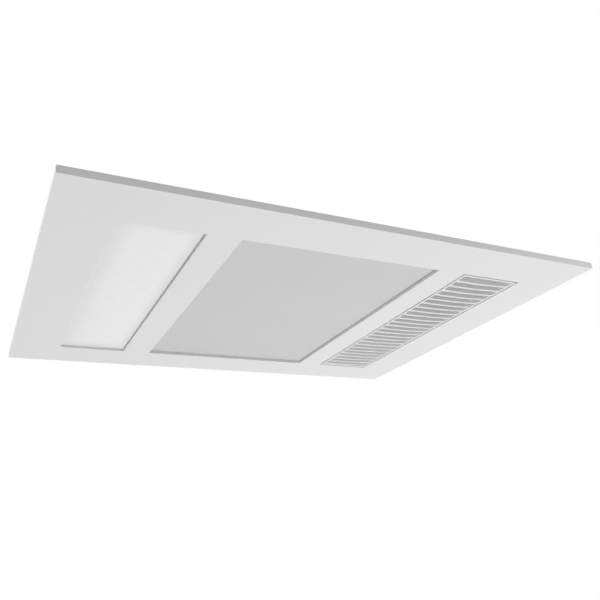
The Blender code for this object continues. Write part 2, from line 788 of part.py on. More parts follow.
def make_light():
    """The panel light: diffuser, seal, tray, board with its chips, and driver."""
    low = FACE_Z + DIFFUSER_RECESS
    diffuser_x = (LIGHT_X[0] + DIFFUSER_CLEARANCE, LIGHT_X[1] - DIFFUSER_CLEARANCE)
    diffuser_y = (OPENING_Y[0] + DIFFUSER_CLEARANCE, OPENING_Y[1] - DIFFUSER_CLEARANCE)
    piece("light_diffuser", opal(), box(diffuser_x, diffuser_y, (low, low + DIFFUSER_SHEET)))
    tray_x = (LIGHT_X[0] + TRAY_CLEARANCE, LIGHT_X[1] - TRAY_CLEARANCE)
    tray_y = (OPENING_Y[0] + TRAY_CLEARANCE, OPENING_Y[1] - TRAY_CLEARANCE)
    seal_z = (low + DIFFUSER_SHEET + GAP, low + DIFFUSER_SHEET + GAP + SEAL_HEIGHT)
    hole = box(
        (tray_x[0] + SEAL_WIDTH, tray_x[1] - SEAL_WIDTH),
        (tray_y[0] + SEAL_WIDTH, tray_y[1] - SEAL_WIDTH),
        (seal_z[0] - OVERRUN, seal_z[1] + OVERRUN),
    )
    piece("light_seal", rubber(), box(tray_x, tray_y, seal_z), cut=[hole])
    tray_z = (seal_z[1] + GAP, seal_z[1] + GAP + TRAY_HEIGHT)
    inside = box(
        (tray_x[0] + TRAY_SHEET, tray_x[1] - TRAY_SHEET),
        (tray_y[0] + TRAY_SHEET, tray_y[1] - TRAY_SHEET),
        (tray_z[0] - OVERRUN, tray_z[1] - TRAY_SHEET),
    )
    ears = []
    for y in (-TRAY_EAR_PLACE, TRAY_EAR_PLACE):
        ear_x = (LIGHT_X[0] - RETURN_WALL, LIGHT_X[1] + RETURN_WALL)
        ear_z = (RETURN_TOP + GAP, RETURN_TOP + GAP + TRAY_SHEET)
        ears.append(box((ear_x[0], tray_x[0] + TRAY_SHEET), span(y, TRAY_EAR_LENGTH), ear_z))
        ears.append(box((tray_x[1] - TRAY_SHEET, ear_x[1]), span(y, TRAY_EAR_LENGTH), ear_z))
    steps = [("DIFFERENCE", inside), ("UNION", joined(ears))]
    worked("light_tray", tray_paint(), box(tray_x, tray_y, tray_z), steps)
    make_led_board(tray_z[1] - TRAY_SHEET - GAP)
    make_driver(tray_z[1] + GAP)


def make_led_board(top):
    z = (top - BOARD_SHEET, top)
    chips = []
    for row in range(LED_ROWS):
        x = LIGHT_CENTRE + BOARD_WIDTH * ((row + 0.5) / LED_ROWS - 0.5)
        for i in range(LED_PER_ROW):
            y = BOARD_LENGTH * ((i + 0.5) / LED_PER_ROW - 0.5)
            chips.append(box(span(x, LED_SIZE), span(y, LED_SIZE), (z[0] - LED_HEIGHT, z[0] + SINK)))
    shape = box(span(LIGHT_CENTRE, BOARD_WIDTH), span(0, BOARD_LENGTH), z)
    piece("led_board", board_white(), shape, add=[joined(chips)])


def make_driver(low):
    """The light's driver: a small closed case on two feet."""
    x = span(LIGHT_CENTRE, DRIVER_WIDTH)
    y = span(DRIVER_PLACE, DRIVER_LENGTH)
    outline = rounded(rectangle(x, (low, low + DRIVER_HEIGHT)), DRIVER_BEVEL, 2)
    feet = box(x, (y[0] - DRIVER_FOOT, y[1] + DRIVER_FOOT), (low, low + DRIVER_FOOT_HEIGHT))
    piece("led_driver", grey_plastic(), prism(outline, *y, "Y"), add=[feet])


def clamp_window(side, end):
    """The opening in an end wall that a clamp's arm swings through."""
    centre = RIGHT_BAR if side > 0 else LEFT_BAR
    inward = ARM_REACH + WINDOW_CLEARANCE
    outward = ARM_HUB_RADIUS + WINDOW_CLEARANCE
    x = sorted((centre - side * inward, centre + side * outward))
    y = sorted((end * (INNER_Y - OVERRUN), end * (OUTER_Y + OVERRUN)))
    low = CEILING_BOARD - ARM_TRAVEL_DOWN - WINDOW_CLEARANCE / 2
    high = ARM_Z + ARM_HUB_HEIGHT + ARM_TRAVEL_UP + WINDOW_CLEARANCE
    return box(x, y, (low, high))


def make_casing_body():
    """Top and two sides folded from one sheet, with flanges that bear on the ceiling's underside."""
    wall = INNER_X + SHEET / 2
    low = -SHEET / 2
    high = CASING_HEIGHT - SHEET / 2
    edge = OUTER_X + CASING_FLANGE
    path = [(-edge, low), (-wall, low), (-wall, high), (wall, high), (wall, low), (edge, low)]
    y = (-(INNER_Y - GAP), INNER_Y - GAP)
    shape = prism(strip(folded(path, FOLD_RADIUS), SHEET), *y, "Y")
    beads = []
    for i in (-1, 0, 1):
        outline = bead_outline(span(i * BEAD_PITCH, BEAD_WIDTH), span(0, BEAD_LENGTH))
        beads.append(prism(outline, CASING_HEIGHT - SINK, CASING_HEIGHT + BEAD_HEIGHT))
    holes = []
    for side in (-1, 1):
        x = side * (OUTER_X + CASING_FLANGE / 2)
        for place in (-FIXING_HOLE_PLACE, FIXING_HOLE_PLACE):
            holes.append(rod(FIXING_HOLE_RADIUS, -SHEET - OVERRUN, OVERRUN, (x, place)))
    outlet = rod(
        COLLAR_RADIUS - COLLAR_WALL - OUTLET_HOLE_INSET,
        -OUTER_X - OVERRUN,
        -INNER_X + OVERRUN,
        (SPIGOT_Y, SPIGOT_Z),
        "X",
        ROUND_SIDES,
    )
    piece("casing_body", zinc_sheet(), shape, add=[joined(beads)], cut=[joined(holes), outlet])


def bead_outline(x, y):
    """A long outline with half-round ends, for a pressed bead."""
    radius = (x[1] - x[0]) / 2
    middle = (x[0] + x[1]) / 2
    far = arc((middle, y[1] - radius), radius, 0, 180, 4)
    near = arc((middle, y[0] + radius), radius, 180, 360, 4)
    return far + near


def make_casing_end(name, end, holes):
    """An end wall with three lips inside the body and a flange below."""
    lip_x = INNER_X - GAP
    lip_top = CASING_HEIGHT - SHEET - GAP
    wall_y = sorted((end * INNER_Y, end * OUTER_Y))
    lip_y = sorted((end * (INNER_Y - END_LIP), end * (INNER_Y + SINK)))
    flange_y = sorted((end * INNER_Y, end * (OUTER_Y + CASING_FLANGE)))
    wall = box((-OUTER_X, OUTER_X), wall_y, (-SHEET, CASING_HEIGHT))
    side = lip_x - SHEET / 2
    top = lip_top - SHEET / 2
    path = folded([(-side, SHEET), (-side, top), (side, top), (side, SHEET)], FOLD_RADIUS)
    lips = prism(strip(path, SHEET), *lip_y, "Y")
    flange = box((-OUTER_X, OUTER_X), flange_y, (-SHEET, 0))
    windows = joined([clamp_window(side, end) for side in (-1, 1)])
    fixings = []
    for place in (-FIXING_HOLE_PLACE, FIXING_HOLE_PLACE):
        centre = (place, end * (OUTER_Y + CASING_FLANGE / 2))
        fixings.append(rod(FIXING_HOLE_RADIUS, -SHEET - OVERRUN, OVERRUN, centre))
    cuts = [windows, joined(fixings)] + holes
    piece(name, zinc_sheet(), wall, add=[lips, flange], cut=cuts)


def make_casing_ends():
    y = (-OUTER_Y - OVERRUN, -INNER_Y + OVERRUN)
    wire_hole = rod(GROMMET_RADIUS + GAP, *y, (0, WIRING_Z), "Y", ROUND_SIDES)
    make_casing_end("casing_end_near", -1, [wire_hole])
    make_casing_end("casing_end_far", 1, [])


def make_rail(name, centre, side):
    """A channel along Y under the bars of the fascia, which takes the fascia's screws and the clamps."""
    x = span(centre, RAIL_WIDTH)
    end_y = INNER_Y - GAP
    web = box(x, (-end_y, end_y), RAIL_Z)
    flanges = []
    for low in (x[0], x[1] - RAIL_SHEET):
        z = (RAIL_Z[0], RAIL_Z[1] + RAIL_FLANGE)
        flanges.append(box((low, low + RAIL_SHEET), (-RAIL_FLANGE_END, RAIL_FLANGE_END), z))
    inner_edge = x[0] if side > 0 else x[1]
    lugs = []
    tabs = []
    screws = []
    for end in (-1, 1):
        opening = PANEL_X[1] if side > 0 else PANEL_X[0]
        lug_x = sorted((opening - side * TAB_REACH, inner_edge + side * SINK * 2))
        lugs.append(box(lug_x, span(end * TAB_PLACE, TAB_WIDTH), RAIL_Z))
        tab_y = sorted((end * (end_y - RAIL_SHEET), end * end_y))
        tabs.append(box(span(centre, RAIL_TAB_WIDTH), tab_y, (0, RAIL_Z[0] + SINK)))
        z = (RAIL_Z[0] - OVERRUN, RAIL_Z[1] + OVERRUN)
        screws.append(rod(CLAMP_SCREW_RADIUS + GAP, *z, (centre, end * CLAMP_Y)))
        tab_x = opening - side * TAB_REACH / 2
        screws.append(rod(FASCIA_SCREW_RADIUS + GAP, *z, (tab_x, end * TAB_PLACE)))
    additions = [joined(flanges), joined(lugs), joined(tabs)]
    piece(name, zinc_sheet(), web, add=additions, cut=[joined(screws)])


def make_clamps():
    """Four screws, each with an arm that swings out over the ceiling board and is drawn down on it."""
    for number, (side, end) in enumerate(CLAMP_SIDES, 1):
        x = RIGHT_BAR if side > 0 else LEFT_BAR
        y = end * CLAMP_Y
        axis = pivot(f"clamp_{number}_axis", (x, y, RAIL_Z[0]))
        head_top = RAIL_Z[0] - GAP
        head = prism(hexagon((x, y), CLAMP_HEAD_RADIUS), head_top - CLAMP_HEAD_HEIGHT, head_top)
        shank = rod(CLAMP_SCREW_RADIUS, head_top - SINK, CLAMP_SCREW_TOP, (x, y))
        clip_low = RAIL_Z[1] + GAP
        clip = rod(CLAMP_CLIP_RADIUS, clip_low, clip_low + CLAMP_CLIP_HEIGHT, (x, y))
        piece(f"clamp_screw_{number}", steel(), head, add=[shank, clip], parent=axis)
        hub = rod(ARM_HUB_RADIUS, ARM_Z, ARM_Z + ARM_HUB_HEIGHT, (x, y), "Z", ROUND_SIDES)
        reach_y = sorted((y, y + end * ARM_REACH))
        leg_z = (ARM_Z + ARM_HUB_HEIGHT - ARM_THICKNESS, ARM_Z + ARM_HUB_HEIGHT - SINK)
        leg = box(span(x, ARM_WIDTH), reach_y, leg_z)
        foot_y = sorted((y + end * (ARM_REACH - FOOT_LENGTH), y + end * (ARM_REACH - SINK)))
        foot = box(span(x, ARM_WIDTH - 2 * SINK), foot_y, (CEILING_BOARD, leg_z[0] + SINK))
        bore_z = (ARM_Z - OVERRUN, ARM_Z + ARM_HUB_HEIGHT + OVERRUN)
        bore = rod(CLAMP_SCREW_RADIUS + GAP, *bore_z, (x, y))
        piece(f"clamp_arm_{number}", grey_plastic(), hub, add=[leg, foot], cut=[bore], parent=axis)


def scroll_points(extra, first):
    """The scroll's spiral, in plan, from an angle round to the outlet."""
    points = []
    for i in range(SCROLL_STEPS + 1):
        angle = first + (OUTLET_ANGLE - first) * i / SCROLL_STEPS
        share = (angle - TONGUE_ANGLE) / (OUTLET_ANGLE - TONGUE_ANGLE)
        radius = SCROLL_START + (SCROLL_END - SCROLL_START) * share + extra
        turn = math.radians(angle)
        points.append((FAN_X + radius * math.cos(turn), FAN_Y + radius * math.sin(turn)))
    return points


def scroll_plate():
    """The outline of the scroll's top and of its inlet plate."""
    spiral = scroll_points(SCROLL_FLANGE, TONGUE_ANGLE + SCROLL_FLANGE_TURN)
    tongue_y = scroll_points(0, TONGUE_ANGLE)[0][1]
    end_x = OUTLET_X + FOLD_RADIUS
    return spiral + [(end_x, spiral[-1][1]), (end_x, tongue_y - SCROLL_FLANGE)]


def make_scroll():
    """The exhaust fan's scroll: a spiral wall that runs on to the outlet, under a flat top."""
    spiral = scroll_points(0, TONGUE_ANGLE)
    path = [(OUTLET_X, spiral[0][1])] + spiral + [(OUTLET_X, spiral[-1][1])]
    low = INLET_PLATE_Z + SCROLL_SHEET + GAP
    outline = strip(folded(path, TONGUE_RADIUS, 4), SCROLL_SHEET)
    wall = prism(outline, low, SCROLL_TOP - SCROLL_SHEET + SINK)
    top = prism(scroll_plate(), SCROLL_TOP - SCROLL_SHEET, SCROLL_TOP)
    piece("exhaust_scroll", zinc_sheet(), wall, add=[top])


def make_inlet_plate():
    """The plate under the scroll, drawn up into a bell mouth round the inlet."""
    centre = (FAN_X, FAN_Y)
    plate = prism(scroll_plate(), INLET_PLATE_Z, INLET_PLATE_Z + SCROLL_SHEET)
    edge = INLET_RADIUS + BELL_FLARE
    middle = SCROLL_SHEET / 2
    hole_z = (INLET_PLATE_Z - OVERRUN, INLET_PLATE_Z + SCROLL_SHEET + OVERRUN)
    hole = rod(edge, *hole_z, centre, "Z", LARGE_SIDES)
    corner = (edge + middle, INLET_PLATE_Z + BELL_FLARE + middle)
    path = [(corner[0] + SINK, INLET_PLATE_Z + middle)]
    path += arc(corner, BELL_FLARE, 270, 180, 3)
    path.append((path[-1][0], INLET_PLATE_Z + BELL_HEIGHT))
    bell = revolve(strip(path, SCROLL_SHEET), centre, "Z", LARGE_SIDES)
    worked("inlet_plate", zinc_sheet(), plate, [("DIFFERENCE", hole), ("UNION", bell)])


def turned(outline, centre, turn):
    """An outline about the origin, turned and moved to a centre."""
    cos = math.cos(turn)
    sin = math.sin(turn)
    return [(centre[0] + a * cos - b * sin, centre[1] + a * sin + b * cos) for a, b in outline]


def wheel_blade(inner, outer, wall, sweep, steps=2):
    """The outline of a fan blade about its wheel's centre, curved forward by an angle in degrees."""
    path = []
    for i in range(steps + 1):
        share = i / steps
        radius = inner + (outer - inner) * share
        turn = math.radians(sweep * share**2)
        path.append((radius * math.cos(turn), radius * math.sin(turn)))
    return strip(path, wall)


def make_impeller():
    """The exhaust fan's wheel, shaft and nut, which turn together."""
    centre = (FAN_X, FAN_Y)
    axis = pivot("exhaust_fan_axis", (FAN_X, FAN_Y, IMPELLER_BACK_Z))
    reach = (IMPELLER_INNER, IMPELLER_RADIUS - SINK)
    blade_outline = wheel_blade(*reach, IMPELLER_BLADE_WALL, IMPELLER_BLADE_TURN)
    blades = []
    for i in range(IMPELLER_BLADES):
        outline = turned(blade_outline, centre, 2 * math.pi * i / IMPELLER_BLADES)
        blades.append(prism(outline, IMPELLER_LOW, IMPELLER_BACK_Z + SINK))
    hub_low = IMPELLER_BACK_Z - HUB_LENGTH
    back_top = IMPELLER_BACK_Z + IMPELLER_BACK
    bore = SHAFT_RADIUS + GAP
    disc = revolve(
        [
            (bore, hub_low),
            (HUB_RADIUS, hub_low),
            (HUB_RADIUS, IMPELLER_BACK_Z),
            (IMPELLER_RADIUS, IMPELLER_BACK_Z),
            (IMPELLER_RADIUS, back_top),
            (bore, back_top),
        ],
        centre,
        "Z",
        IMPELLER_BLADES,
    )
    ring_z = (IMPELLER_LOW - IMPELLER_RING + SINK, IMPELLER_LOW + SINK)
    low_ring = ring(IMPELLER_INNER + SINK, IMPELLER_RADIUS, *ring_z, centre, "Z", IMPELLER_BLADES)
    piece("exhaust_impeller", black_plastic(), disc, add=[joined(blades), low_ring], parent=axis)
    shaft_low = MOTOR_Z + MOTOR_HEIGHT + MOTOR_BOSS_HEIGHT - SHAFT_SEAT + GAP
    piece("exhaust_shaft", steel(), rod(SHAFT_RADIUS, shaft_low, SHAFT_TOP, centre), parent=axis)
    low = back_top + GAP
    nut = prism(hexagon(centre, FAN_NUT_RADIUS), low, low + FAN_NUT_HEIGHT)
    hole = rod(SHAFT_RADIUS + GAP, low - OVERRUN, low + FAN_NUT_HEIGHT + OVERRUN, centre)
    piece("impeller_nut", steel(), nut, cut=[hole], parent=axis)


def make_exhaust_motor():
    """The motor hangs in the inlet on a bracket with three arms."""
    centre = (FAN_X, FAN_Y)
    low = MOTOR_Z
    high = low + MOTOR_HEIGHT
    top = high + MOTOR_BOSS_HEIGHT
    seat = top - SHAFT_SEAT
    profile = [
        (0, low),
        (MOTOR_RADIUS - MOTOR_BEVEL, low),
        (MOTOR_RADIUS, low + MOTOR_BEVEL),
        (MOTOR_RADIUS, high - MOTOR_BEVEL),
        (MOTOR_RADIUS - MOTOR_BEVEL, high),
        (MOTOR_BOSS_RADIUS, high),
        (MOTOR_BOSS_RADIUS, top),
        (SHAFT_RADIUS + SHAFT_FIT, top),
        (SHAFT_RADIUS + SHAFT_FIT, seat),
        (0, seat),
    ]
    piece("exhaust_motor", steel(), revolve(profile, centre))
    z = (INLET_PLATE_Z - GAP - BRACKET_WALL, INLET_PLATE_Z - GAP)
    hub = rod(BRACKET_RADIUS, *z, centre, "Z", ROUND_SIDES)
    arms = []
    for i in range(BRACKET_ARMS):
        turn = 2 * math.pi * i / BRACKET_ARMS + math.pi / 2
        half = BRACKET_ARM_WIDTH / 2
        reach = INLET_RADIUS + BELL_FLARE + BRACKET_LAP
        outline = [(HUB_RADIUS, -half), (reach, -half), (reach, half), (HUB_RADIUS, half)]
        arms.append(prism(turned(outline, centre, turn), z[0] + SINK, z[1]))
    piece("motor_bracket", zinc_sheet(), hub, add=arms)


def make_spigot():
    """The duct collar on the casing's left side, with the damper that closes it."""
    centre = (SPIGOT_Y, SPIGOT_Z)
    base = -(OUTER_X + GAP)
    flange_out = base - SPIGOT_FLANGE_WALL
    end = flange_out - COLLAR_LENGTH
    square = rectangle(span(SPIGOT_Y, SPIGOT_FLANGE), span(SPIGOT_Z, SPIGOT_FLANGE))
    flange = prism(rounded(square, SPIGOT_CORNER), flange_out, base, "X")
    inner = COLLAR_RADIUS - COLLAR_WALL
    collar = revolve(
        [
            (inner - SINK, base - SINK),
            (COLLAR_RADIUS, base - SINK),
            (COLLAR_RADIUS, end + COLLAR_LEAD_IN),
            (COLLAR_RADIUS - COLLAR_LEAD_IN, end),
            (inner - SINK, end),
        ],
        centre,
        "X",
        LARGE_SIDES,
    )
    stop_x = (FLAP_X + FLAP_WALL / 2 + GAP, FLAP_X + FLAP_WALL / 2 + GAP + FLAP_STOP_DEPTH)
    stop_z = (SPIGOT_Z - inner - COLLAR_WALL / 2, SPIGOT_Z - inner + FLAP_STOP_HEIGHT)
    stop = box(stop_x, span(SPIGOT_Y, FLAP_STOP_WIDTH), stop_z)
    way = rod(inner, end - OVERRUN, base + OVERRUN, centre, "X", LARGE_SIDES)
    pin_span = span(SPIGOT_Y, 2 * COLLAR_RADIUS + 2 * OVERRUN)
    pin_hole = rod(FLAP_PIN_RADIUS + GAP, *pin_span, (FLAP_X, FLAP_Z), "Y")
    steps = [("UNION", collar), ("DIFFERENCE", way), ("UNION", stop), ("DIFFERENCE", pin_hole)]
    worked("duct_spigot", white_plastic(), flange, steps)


def make_damper():
    """A round flap on a pin above its middle, so that it falls shut."""
    axis = pivot("damper_axis", (FLAP_X, SPIGOT_Y, FLAP_Z))
    radius = COLLAR_RADIUS - COLLAR_WALL - FLAP_CLEARANCE
    x = (FLAP_X - FLAP_WALL / 2, FLAP_X + FLAP_WALL / 2)
    disc = rod(radius, *x, (SPIGOT_Y, SPIGOT_Z), "X", LARGE_SIDES)
    half = math.sqrt(radius**2 - FLAP_AXIS_RISE**2) - FLAP_BARREL_CLEARANCE
    barrel = rod(FLAP_BARREL_RADIUS, SPIGOT_Y - half, SPIGOT_Y + half, (FLAP_X, FLAP_Z), "Y")
    y = (SPIGOT_Y - COLLAR_RADIUS, SPIGOT_Y + COLLAR_RADIUS)
    bore = rod(FLAP_PIN_RADIUS + GAP, *y, (FLAP_X, FLAP_Z), "Y")
    piece("damper_flap", grey_plastic(), disc, add=[barrel], cut=[bore], parent=axis)
    reach = math.sqrt(COLLAR_RADIUS**2 - FLAP_AXIS_RISE**2) - GAP
    pin = rod(FLAP_PIN_RADIUS, SPIGOT_Y - reach, SPIGOT_Y + reach, (FLAP_X, FLAP_Z), "Y")
    piece("damper_pin", steel(), pin, parent=axis)


def make_heater_duct():
    """The sheet duct that leads the blower's air through the element to the grille."""
    y = (DUCT_NEAR, DUCT_FAR)
    left = GRILLE_X[0] - RETURN_WALL - DUCT_EDGE_CLEARANCE
    right = INNER_X - GAP
    lip_x = right - SHEET - GAP
    low = RAIL_Z[0]
    plate = box((left, lip_x), span(0, 2 * DUCT_PLATE_END), (low, low + DUCT_SHEET))
    outer_x = (DUCT_X[0] - DUCT_SHEET, DUCT_X[1] + DUCT_SHEET)
    outer_y = (y[0] - DUCT_SHEET, y[1] + DUCT_SHEET)
    outer = box(outer_x, outer_y, (low, DUCT_TOP))
    way = box(DUCT_X, y, (low - OVERRUN, DUCT_TOP + OVERRUN))
    fold_y = span(0, 2 * (LIP_Y - DUCT_EDGE_CLEARANCE))
    wing = box((lip_x - SINK, right), fold_y, (low, low + DUCT_SHEET))
    edges = (left, right - DUCT_SHEET)
    folds = [box((x, x + DUCT_SHEET), fold_y, (low, low + DUCT_FOLD)) for x in edges]
    piece("heater_duct", zinc_sheet(), plate, add=[wing, outer] + folds, cut=[way])


def fin_outline(x, y):
    """A ribbon folded to and fro between two heating bars."""
    folds = round((y[1] - y[0]) / ELEMENT_FIN_PITCH)
    path = []
    for i in range(2 * folds + 1):
        path.append((x[i % 2], y[0] + (y[1] - y[0]) * i / (2 * folds)))
    return strip(path, ELEMENT_FIN_WALL)


def make_element():
    """The heating element: three flat bars, the folded fins between them, and a cap on each end."""
    x = (DUCT_X[0] + ELEMENT_SIDE_CLEARANCE, DUCT_X[1] - ELEMENT_SIDE_CLEARANCE)
    cap_room = ELEMENT_SIDE_CLEARANCE + CAP_LENGTH + GAP
    y = (DUCT_NEAR + cap_room, DUCT_FAR - cap_room)
    z = (ELEMENT_LOW, ELEMENT_LOW + ELEMENT_HEIGHT)
    middle = sum(x) / 2
    bar_x = [(x[0], x[0] + ELEMENT_BAR), span(middle, ELEMENT_BAR), (x[1] - ELEMENT_BAR, x[1])]
    fins = []
    fin_y = (y[0] + ELEMENT_FIN_PITCH, y[1] - ELEMENT_FIN_PITCH)
    fin_z = (z[0] + ELEMENT_FIN_INSET, z[1] - ELEMENT_FIN_INSET)
    for left, right in zip(bar_x, bar_x[1:]):
        reach = (left[1] - ELEMENT_BAR / 4, right[0] + ELEMENT_BAR / 4)
        fins.append(prism(fin_outline(reach, fin_y), *fin_z))
    bars = [box(side, y, z) for side in bar_x]
    piece("heater_element", aluminium(), joined(fins), add=[joined(bars)])
    for name, near, far in (
        ("near", DUCT_NEAR + ELEMENT_SIDE_CLEARANCE, y[0] - GAP),
        ("far", y[1] + GAP, DUCT_FAR - ELEMENT_SIDE_CLEARANCE),
    ):
        cap_z = (z[0] - CAP_MARGIN, z[1] + CAP_MARGIN)
        piece(f"element_cap_{name}", insulator(), box(x, (near, far), cap_z))


def rotor_span():
    return (DUCT_NEAR + ROTOR_END_GAP, DUCT_FAR - ROTOR_END_GAP)


def make_rotor():
    """The heater's long blower wheel with its shaft."""
    centre = (ROTOR_X, ROTOR_Z)
    axis = pivot("heater_blower_axis", (ROTOR_X, 0, ROTOR_Z))
    y = rotor_span()
    outline = wheel_blade(ROTOR_INNER, ROTOR_RADIUS - SINK, ROTOR_BLADE_WALL, -ROTOR_BLADE_TURN)
    blades = []
    for i in range(ROTOR_BLADES):
        turn = 2 * math.pi * i / ROTOR_BLADES
        blades.append(prism(turned(outline, centre, turn), y[0] + SINK, y[1] - SINK, "Y"))
    discs = []
    for low in (y[0], (sum(y) - ROTOR_DISC) / 2, y[1] - ROTOR_DISC):
        discs.append(rod(ROTOR_RADIUS, low, low + ROTOR_DISC, centre, "Y", ROTOR_BLADES))
    ends = (y[0] - STACK_LENGTH - 2 * STACK_POST_LENGTH, y[1] + ROTOR_END_GAP + BUSH_LENGTH)
    shaft = rod(ROTOR_SHAFT_RADIUS, *ends, centre, "Y")
    piece("heater_rotor", black_plastic(), joined(blades), add=[joined(discs), shaft], parent=axis)


def housing_back():
    """The middle of the blower's back wall, in section: a spiral from over the wheel down to the duct."""
    start = math.radians(HOUSING_START_ANGLE)
    foot_x = DUCT_X[1] + DUCT_SHEET / 2
    end_radius = foot_x - ROTOR_X
    path = []
    for i in range(HOUSING_STEPS + 1):
        share = i / HOUSING_STEPS
        turn = start * (1 - share)
        radius = HOUSING_START + (end_radius - HOUSING_START) * share
        path.append((ROTOR_X + radius * math.cos(turn), ROTOR_Z + radius * math.sin(turn)))
    return path + [(foot_x, HOUSING_Z)]


def make_housing():
    """The blower's housing: a curved back wall between two end plates."""
    y = (DUCT_NEAR - DUCT_SHEET, DUCT_FAR + DUCT_SHEET)
    back = prism(strip(housing_back(), HOUSING_WALL), y[0] + SINK, y[1] - SINK, "Y")
    left = DUCT_X[0] - DUCT_SHEET
    right = DUCT_X[1] + DUCT_SHEET
    top = ROTOR_Z + HOUSING_START + HOUSING_TOP_MARGIN
    outline = rounded(rectangle((left, right), (HOUSING_Z, top)), ROTOR_RADIUS / 2, 4)
    outline = [(left, HOUSING_Z), (right, HOUSING_Z)] + [p for p in outline if p[1] > ROTOR_Z]
    plates = [prism(outline, y[0], DUCT_NEAR, "Y"), prism(outline, DUCT_FAR, y[1], "Y")]
    centre = (ROTOR_X, ROTOR_Z)
    shaft_hole = rod(ROTOR_SHAFT_RADIUS + GAP, y[0] - OVERRUN, DUCT_NEAR + OVERRUN, centre, "Y")
    bush_hole = rod(BUSH_RADIUS + GAP, DUCT_FAR - OVERRUN, y[1] + OVERRUN, centre, "Y", ROUND_SIDES)
    piece("blower_housing", zinc_sheet(), back, add=plates, cut=[shaft_hole, bush_hole])
    low = DUCT_FAR - HOUSING_WALL / 2
    bush = ring(ROTOR_SHAFT_RADIUS + GAP, BUSH_RADIUS, low, low + BUSH_LENGTH, centre, "Y")
    piece("rotor_bush", rubber(), bush)


def make_blower_tongue():
    """The short wall that splits the blower's inlet from its outlet."""
    x = DUCT_X[0] - DUCT_SHEET / 2
    reach = ROTOR_X - x + TONGUE_CURL
    high = ROTOR_Z - math.sqrt((ROTOR_RADIUS + TONGUE_GAP) ** 2 - reach**2) - TONGUE_CURL
    path = [(x, HOUSING_Z), (x, high)] + arc((x - TONGUE_CURL, high), TONGUE_CURL, 30, 150, 4)
    y = (DUCT_NEAR + GAP, DUCT_FAR - GAP)
    piece("blower_tongue", zinc_sheet(), prism(strip(path, DUCT_SHEET), *y, "Y"))


def make_heater_motor():
    """The blower's motor: a laminated stack on four posts, with its coil beside the shaft."""
    centre = (ROTOR_X, ROTOR_Z)
    high = DUCT_NEAR - DUCT_SHEET - GAP
    y = (high - STACK_POST_LENGTH - STACK_LENGTH, high - STACK_POST_LENGTH)
    square = rectangle(span(ROTOR_X, STACK_SIZE), span(ROTOR_Z, STACK_SIZE))
    outline = rounded(square, STACK_CORNER)
    posts = []
    reach = STACK_SIZE / 2 - STACK_CORNER
    for side, end in CLAMP_SIDES:
        place = (ROTOR_X + side * reach, ROTOR_Z + end * reach)
        posts.append(rod(STACK_POST_RADIUS, y[1] - SINK, high, place, "Y"))
    bore = rod(ROTOR_SHAFT_RADIUS + GAP, y[0] - OVERRUN, y[1] + OVERRUN, centre, "Y")
    piece("heater_motor", steel(), prism(outline, *y, "Y"), add=[joined(posts)], cut=[bore])
    coil_low = ROTOR_Z + STACK_SIZE / 2 + GAP
    section = rectangle(span(ROTOR_X, COIL_WIDTH), (coil_low, coil_low + COIL_HEIGHT))
    coil = prism(rounded(section, COIL_HEIGHT / 3), *span(sum(y) / 2, COIL_LENGTH), "Y")
    piece("motor_coil", copper(), coil)


def make_thermal_cutout():
    """The switch that opens when the element overheats, on the duct's far wall."""
    low = DUCT_FAR + DUCT_SHEET + GAP
    centre = (GRILLE_CENTRE, ELEMENT_LOW + ELEMENT_HEIGHT / 2)
    body = rod(CUTOUT_RADIUS, low, low + CUTOUT_LENGTH, centre, "Y", ROUND_SIDES)
    tabs = []
    for side in (-1, 1):
        x = span(centre[0] + side * CUTOUT_RADIUS / 2, CUTOUT_TAB_WALL)
        y = (low + CUTOUT_LENGTH - SINK, low + CUTOUT_LENGTH + CUTOUT_TAB_REACH)
        tabs.append(box(x, y, span(centre[1], CUTOUT_TAB)))
    piece("thermal_cutout", black_plastic(), body, add=[joined(tabs)])


def make_wiring_box():
    """The box on the near end wall where the mains is connected: tray, cover, terminals and gland."""
    x = span(0, WIRING_WIDTH)
    z = span(WIRING_Z, WIRING_HEIGHT)
    y = (WIRING_Y - WIRING_DEPTH, WIRING_Y)
    inside = box(
        (x[0] + WIRING_WALL, x[1] - WIRING_WALL),
        (y[0] - OVERRUN, y[1] - WIRING_WALL),
        (z[0] + WIRING_WALL, z[1] - WIRING_WALL),
    )
    gland_place = (y[0] + WIRING_DEPTH / 2, WIRING_Z)
    back_y = (y[1] - WIRING_WALL - OVERRUN, y[1] + OVERRUN)
    wire_radius = GROMMET_RADIUS + GROMMET_LIP + GAP
    wire_hole = rod(wire_radius, *back_y, (0, WIRING_Z), "Y", ROUND_SIDES)
    side_x = (x[0] - OVERRUN, x[0] + WIRING_WALL + OVERRUN)
    gland_hole = rod(GLAND_THREAD_RADIUS + GAP, *side_x, gland_place, "X", ROUND_SIDES)
    shell = prism(rounded(rectangle(x, z), WIRING_WALL, 2), *y, "Y")
    holes = cover_screw_places()
    post_y = (y[0], y[1] - WIRING_WALL + SINK)
    posts = [rod(COVER_POST_RADIUS, *post_y, place, "Y") for place in holes]
    bore_y = (y[0] - OVERRUN, y[0] + COVER_SCREW_LENGTH)
    bores = [rod(COVER_SCREW_RADIUS + GAP, *bore_y, place, "Y") for place in holes]
    steps = [
        ("DIFFERENCE", inside),
        ("UNION", joined(posts)),
        ("DIFFERENCE", joined(bores)),
        ("DIFFERENCE", wire_hole),
        ("DIFFERENCE", gland_hole),
    ]
    worked("wiring_box", grey_plastic(), shell, steps)
    make_wiring_cover(x, y[0] - GAP, z, holes)
    make_terminals(y[1] - WIRING_WALL - GAP, z[0] + WIRING_WALL + GAP)
    make_gland(x[0], gland_place)
    make_grommet()


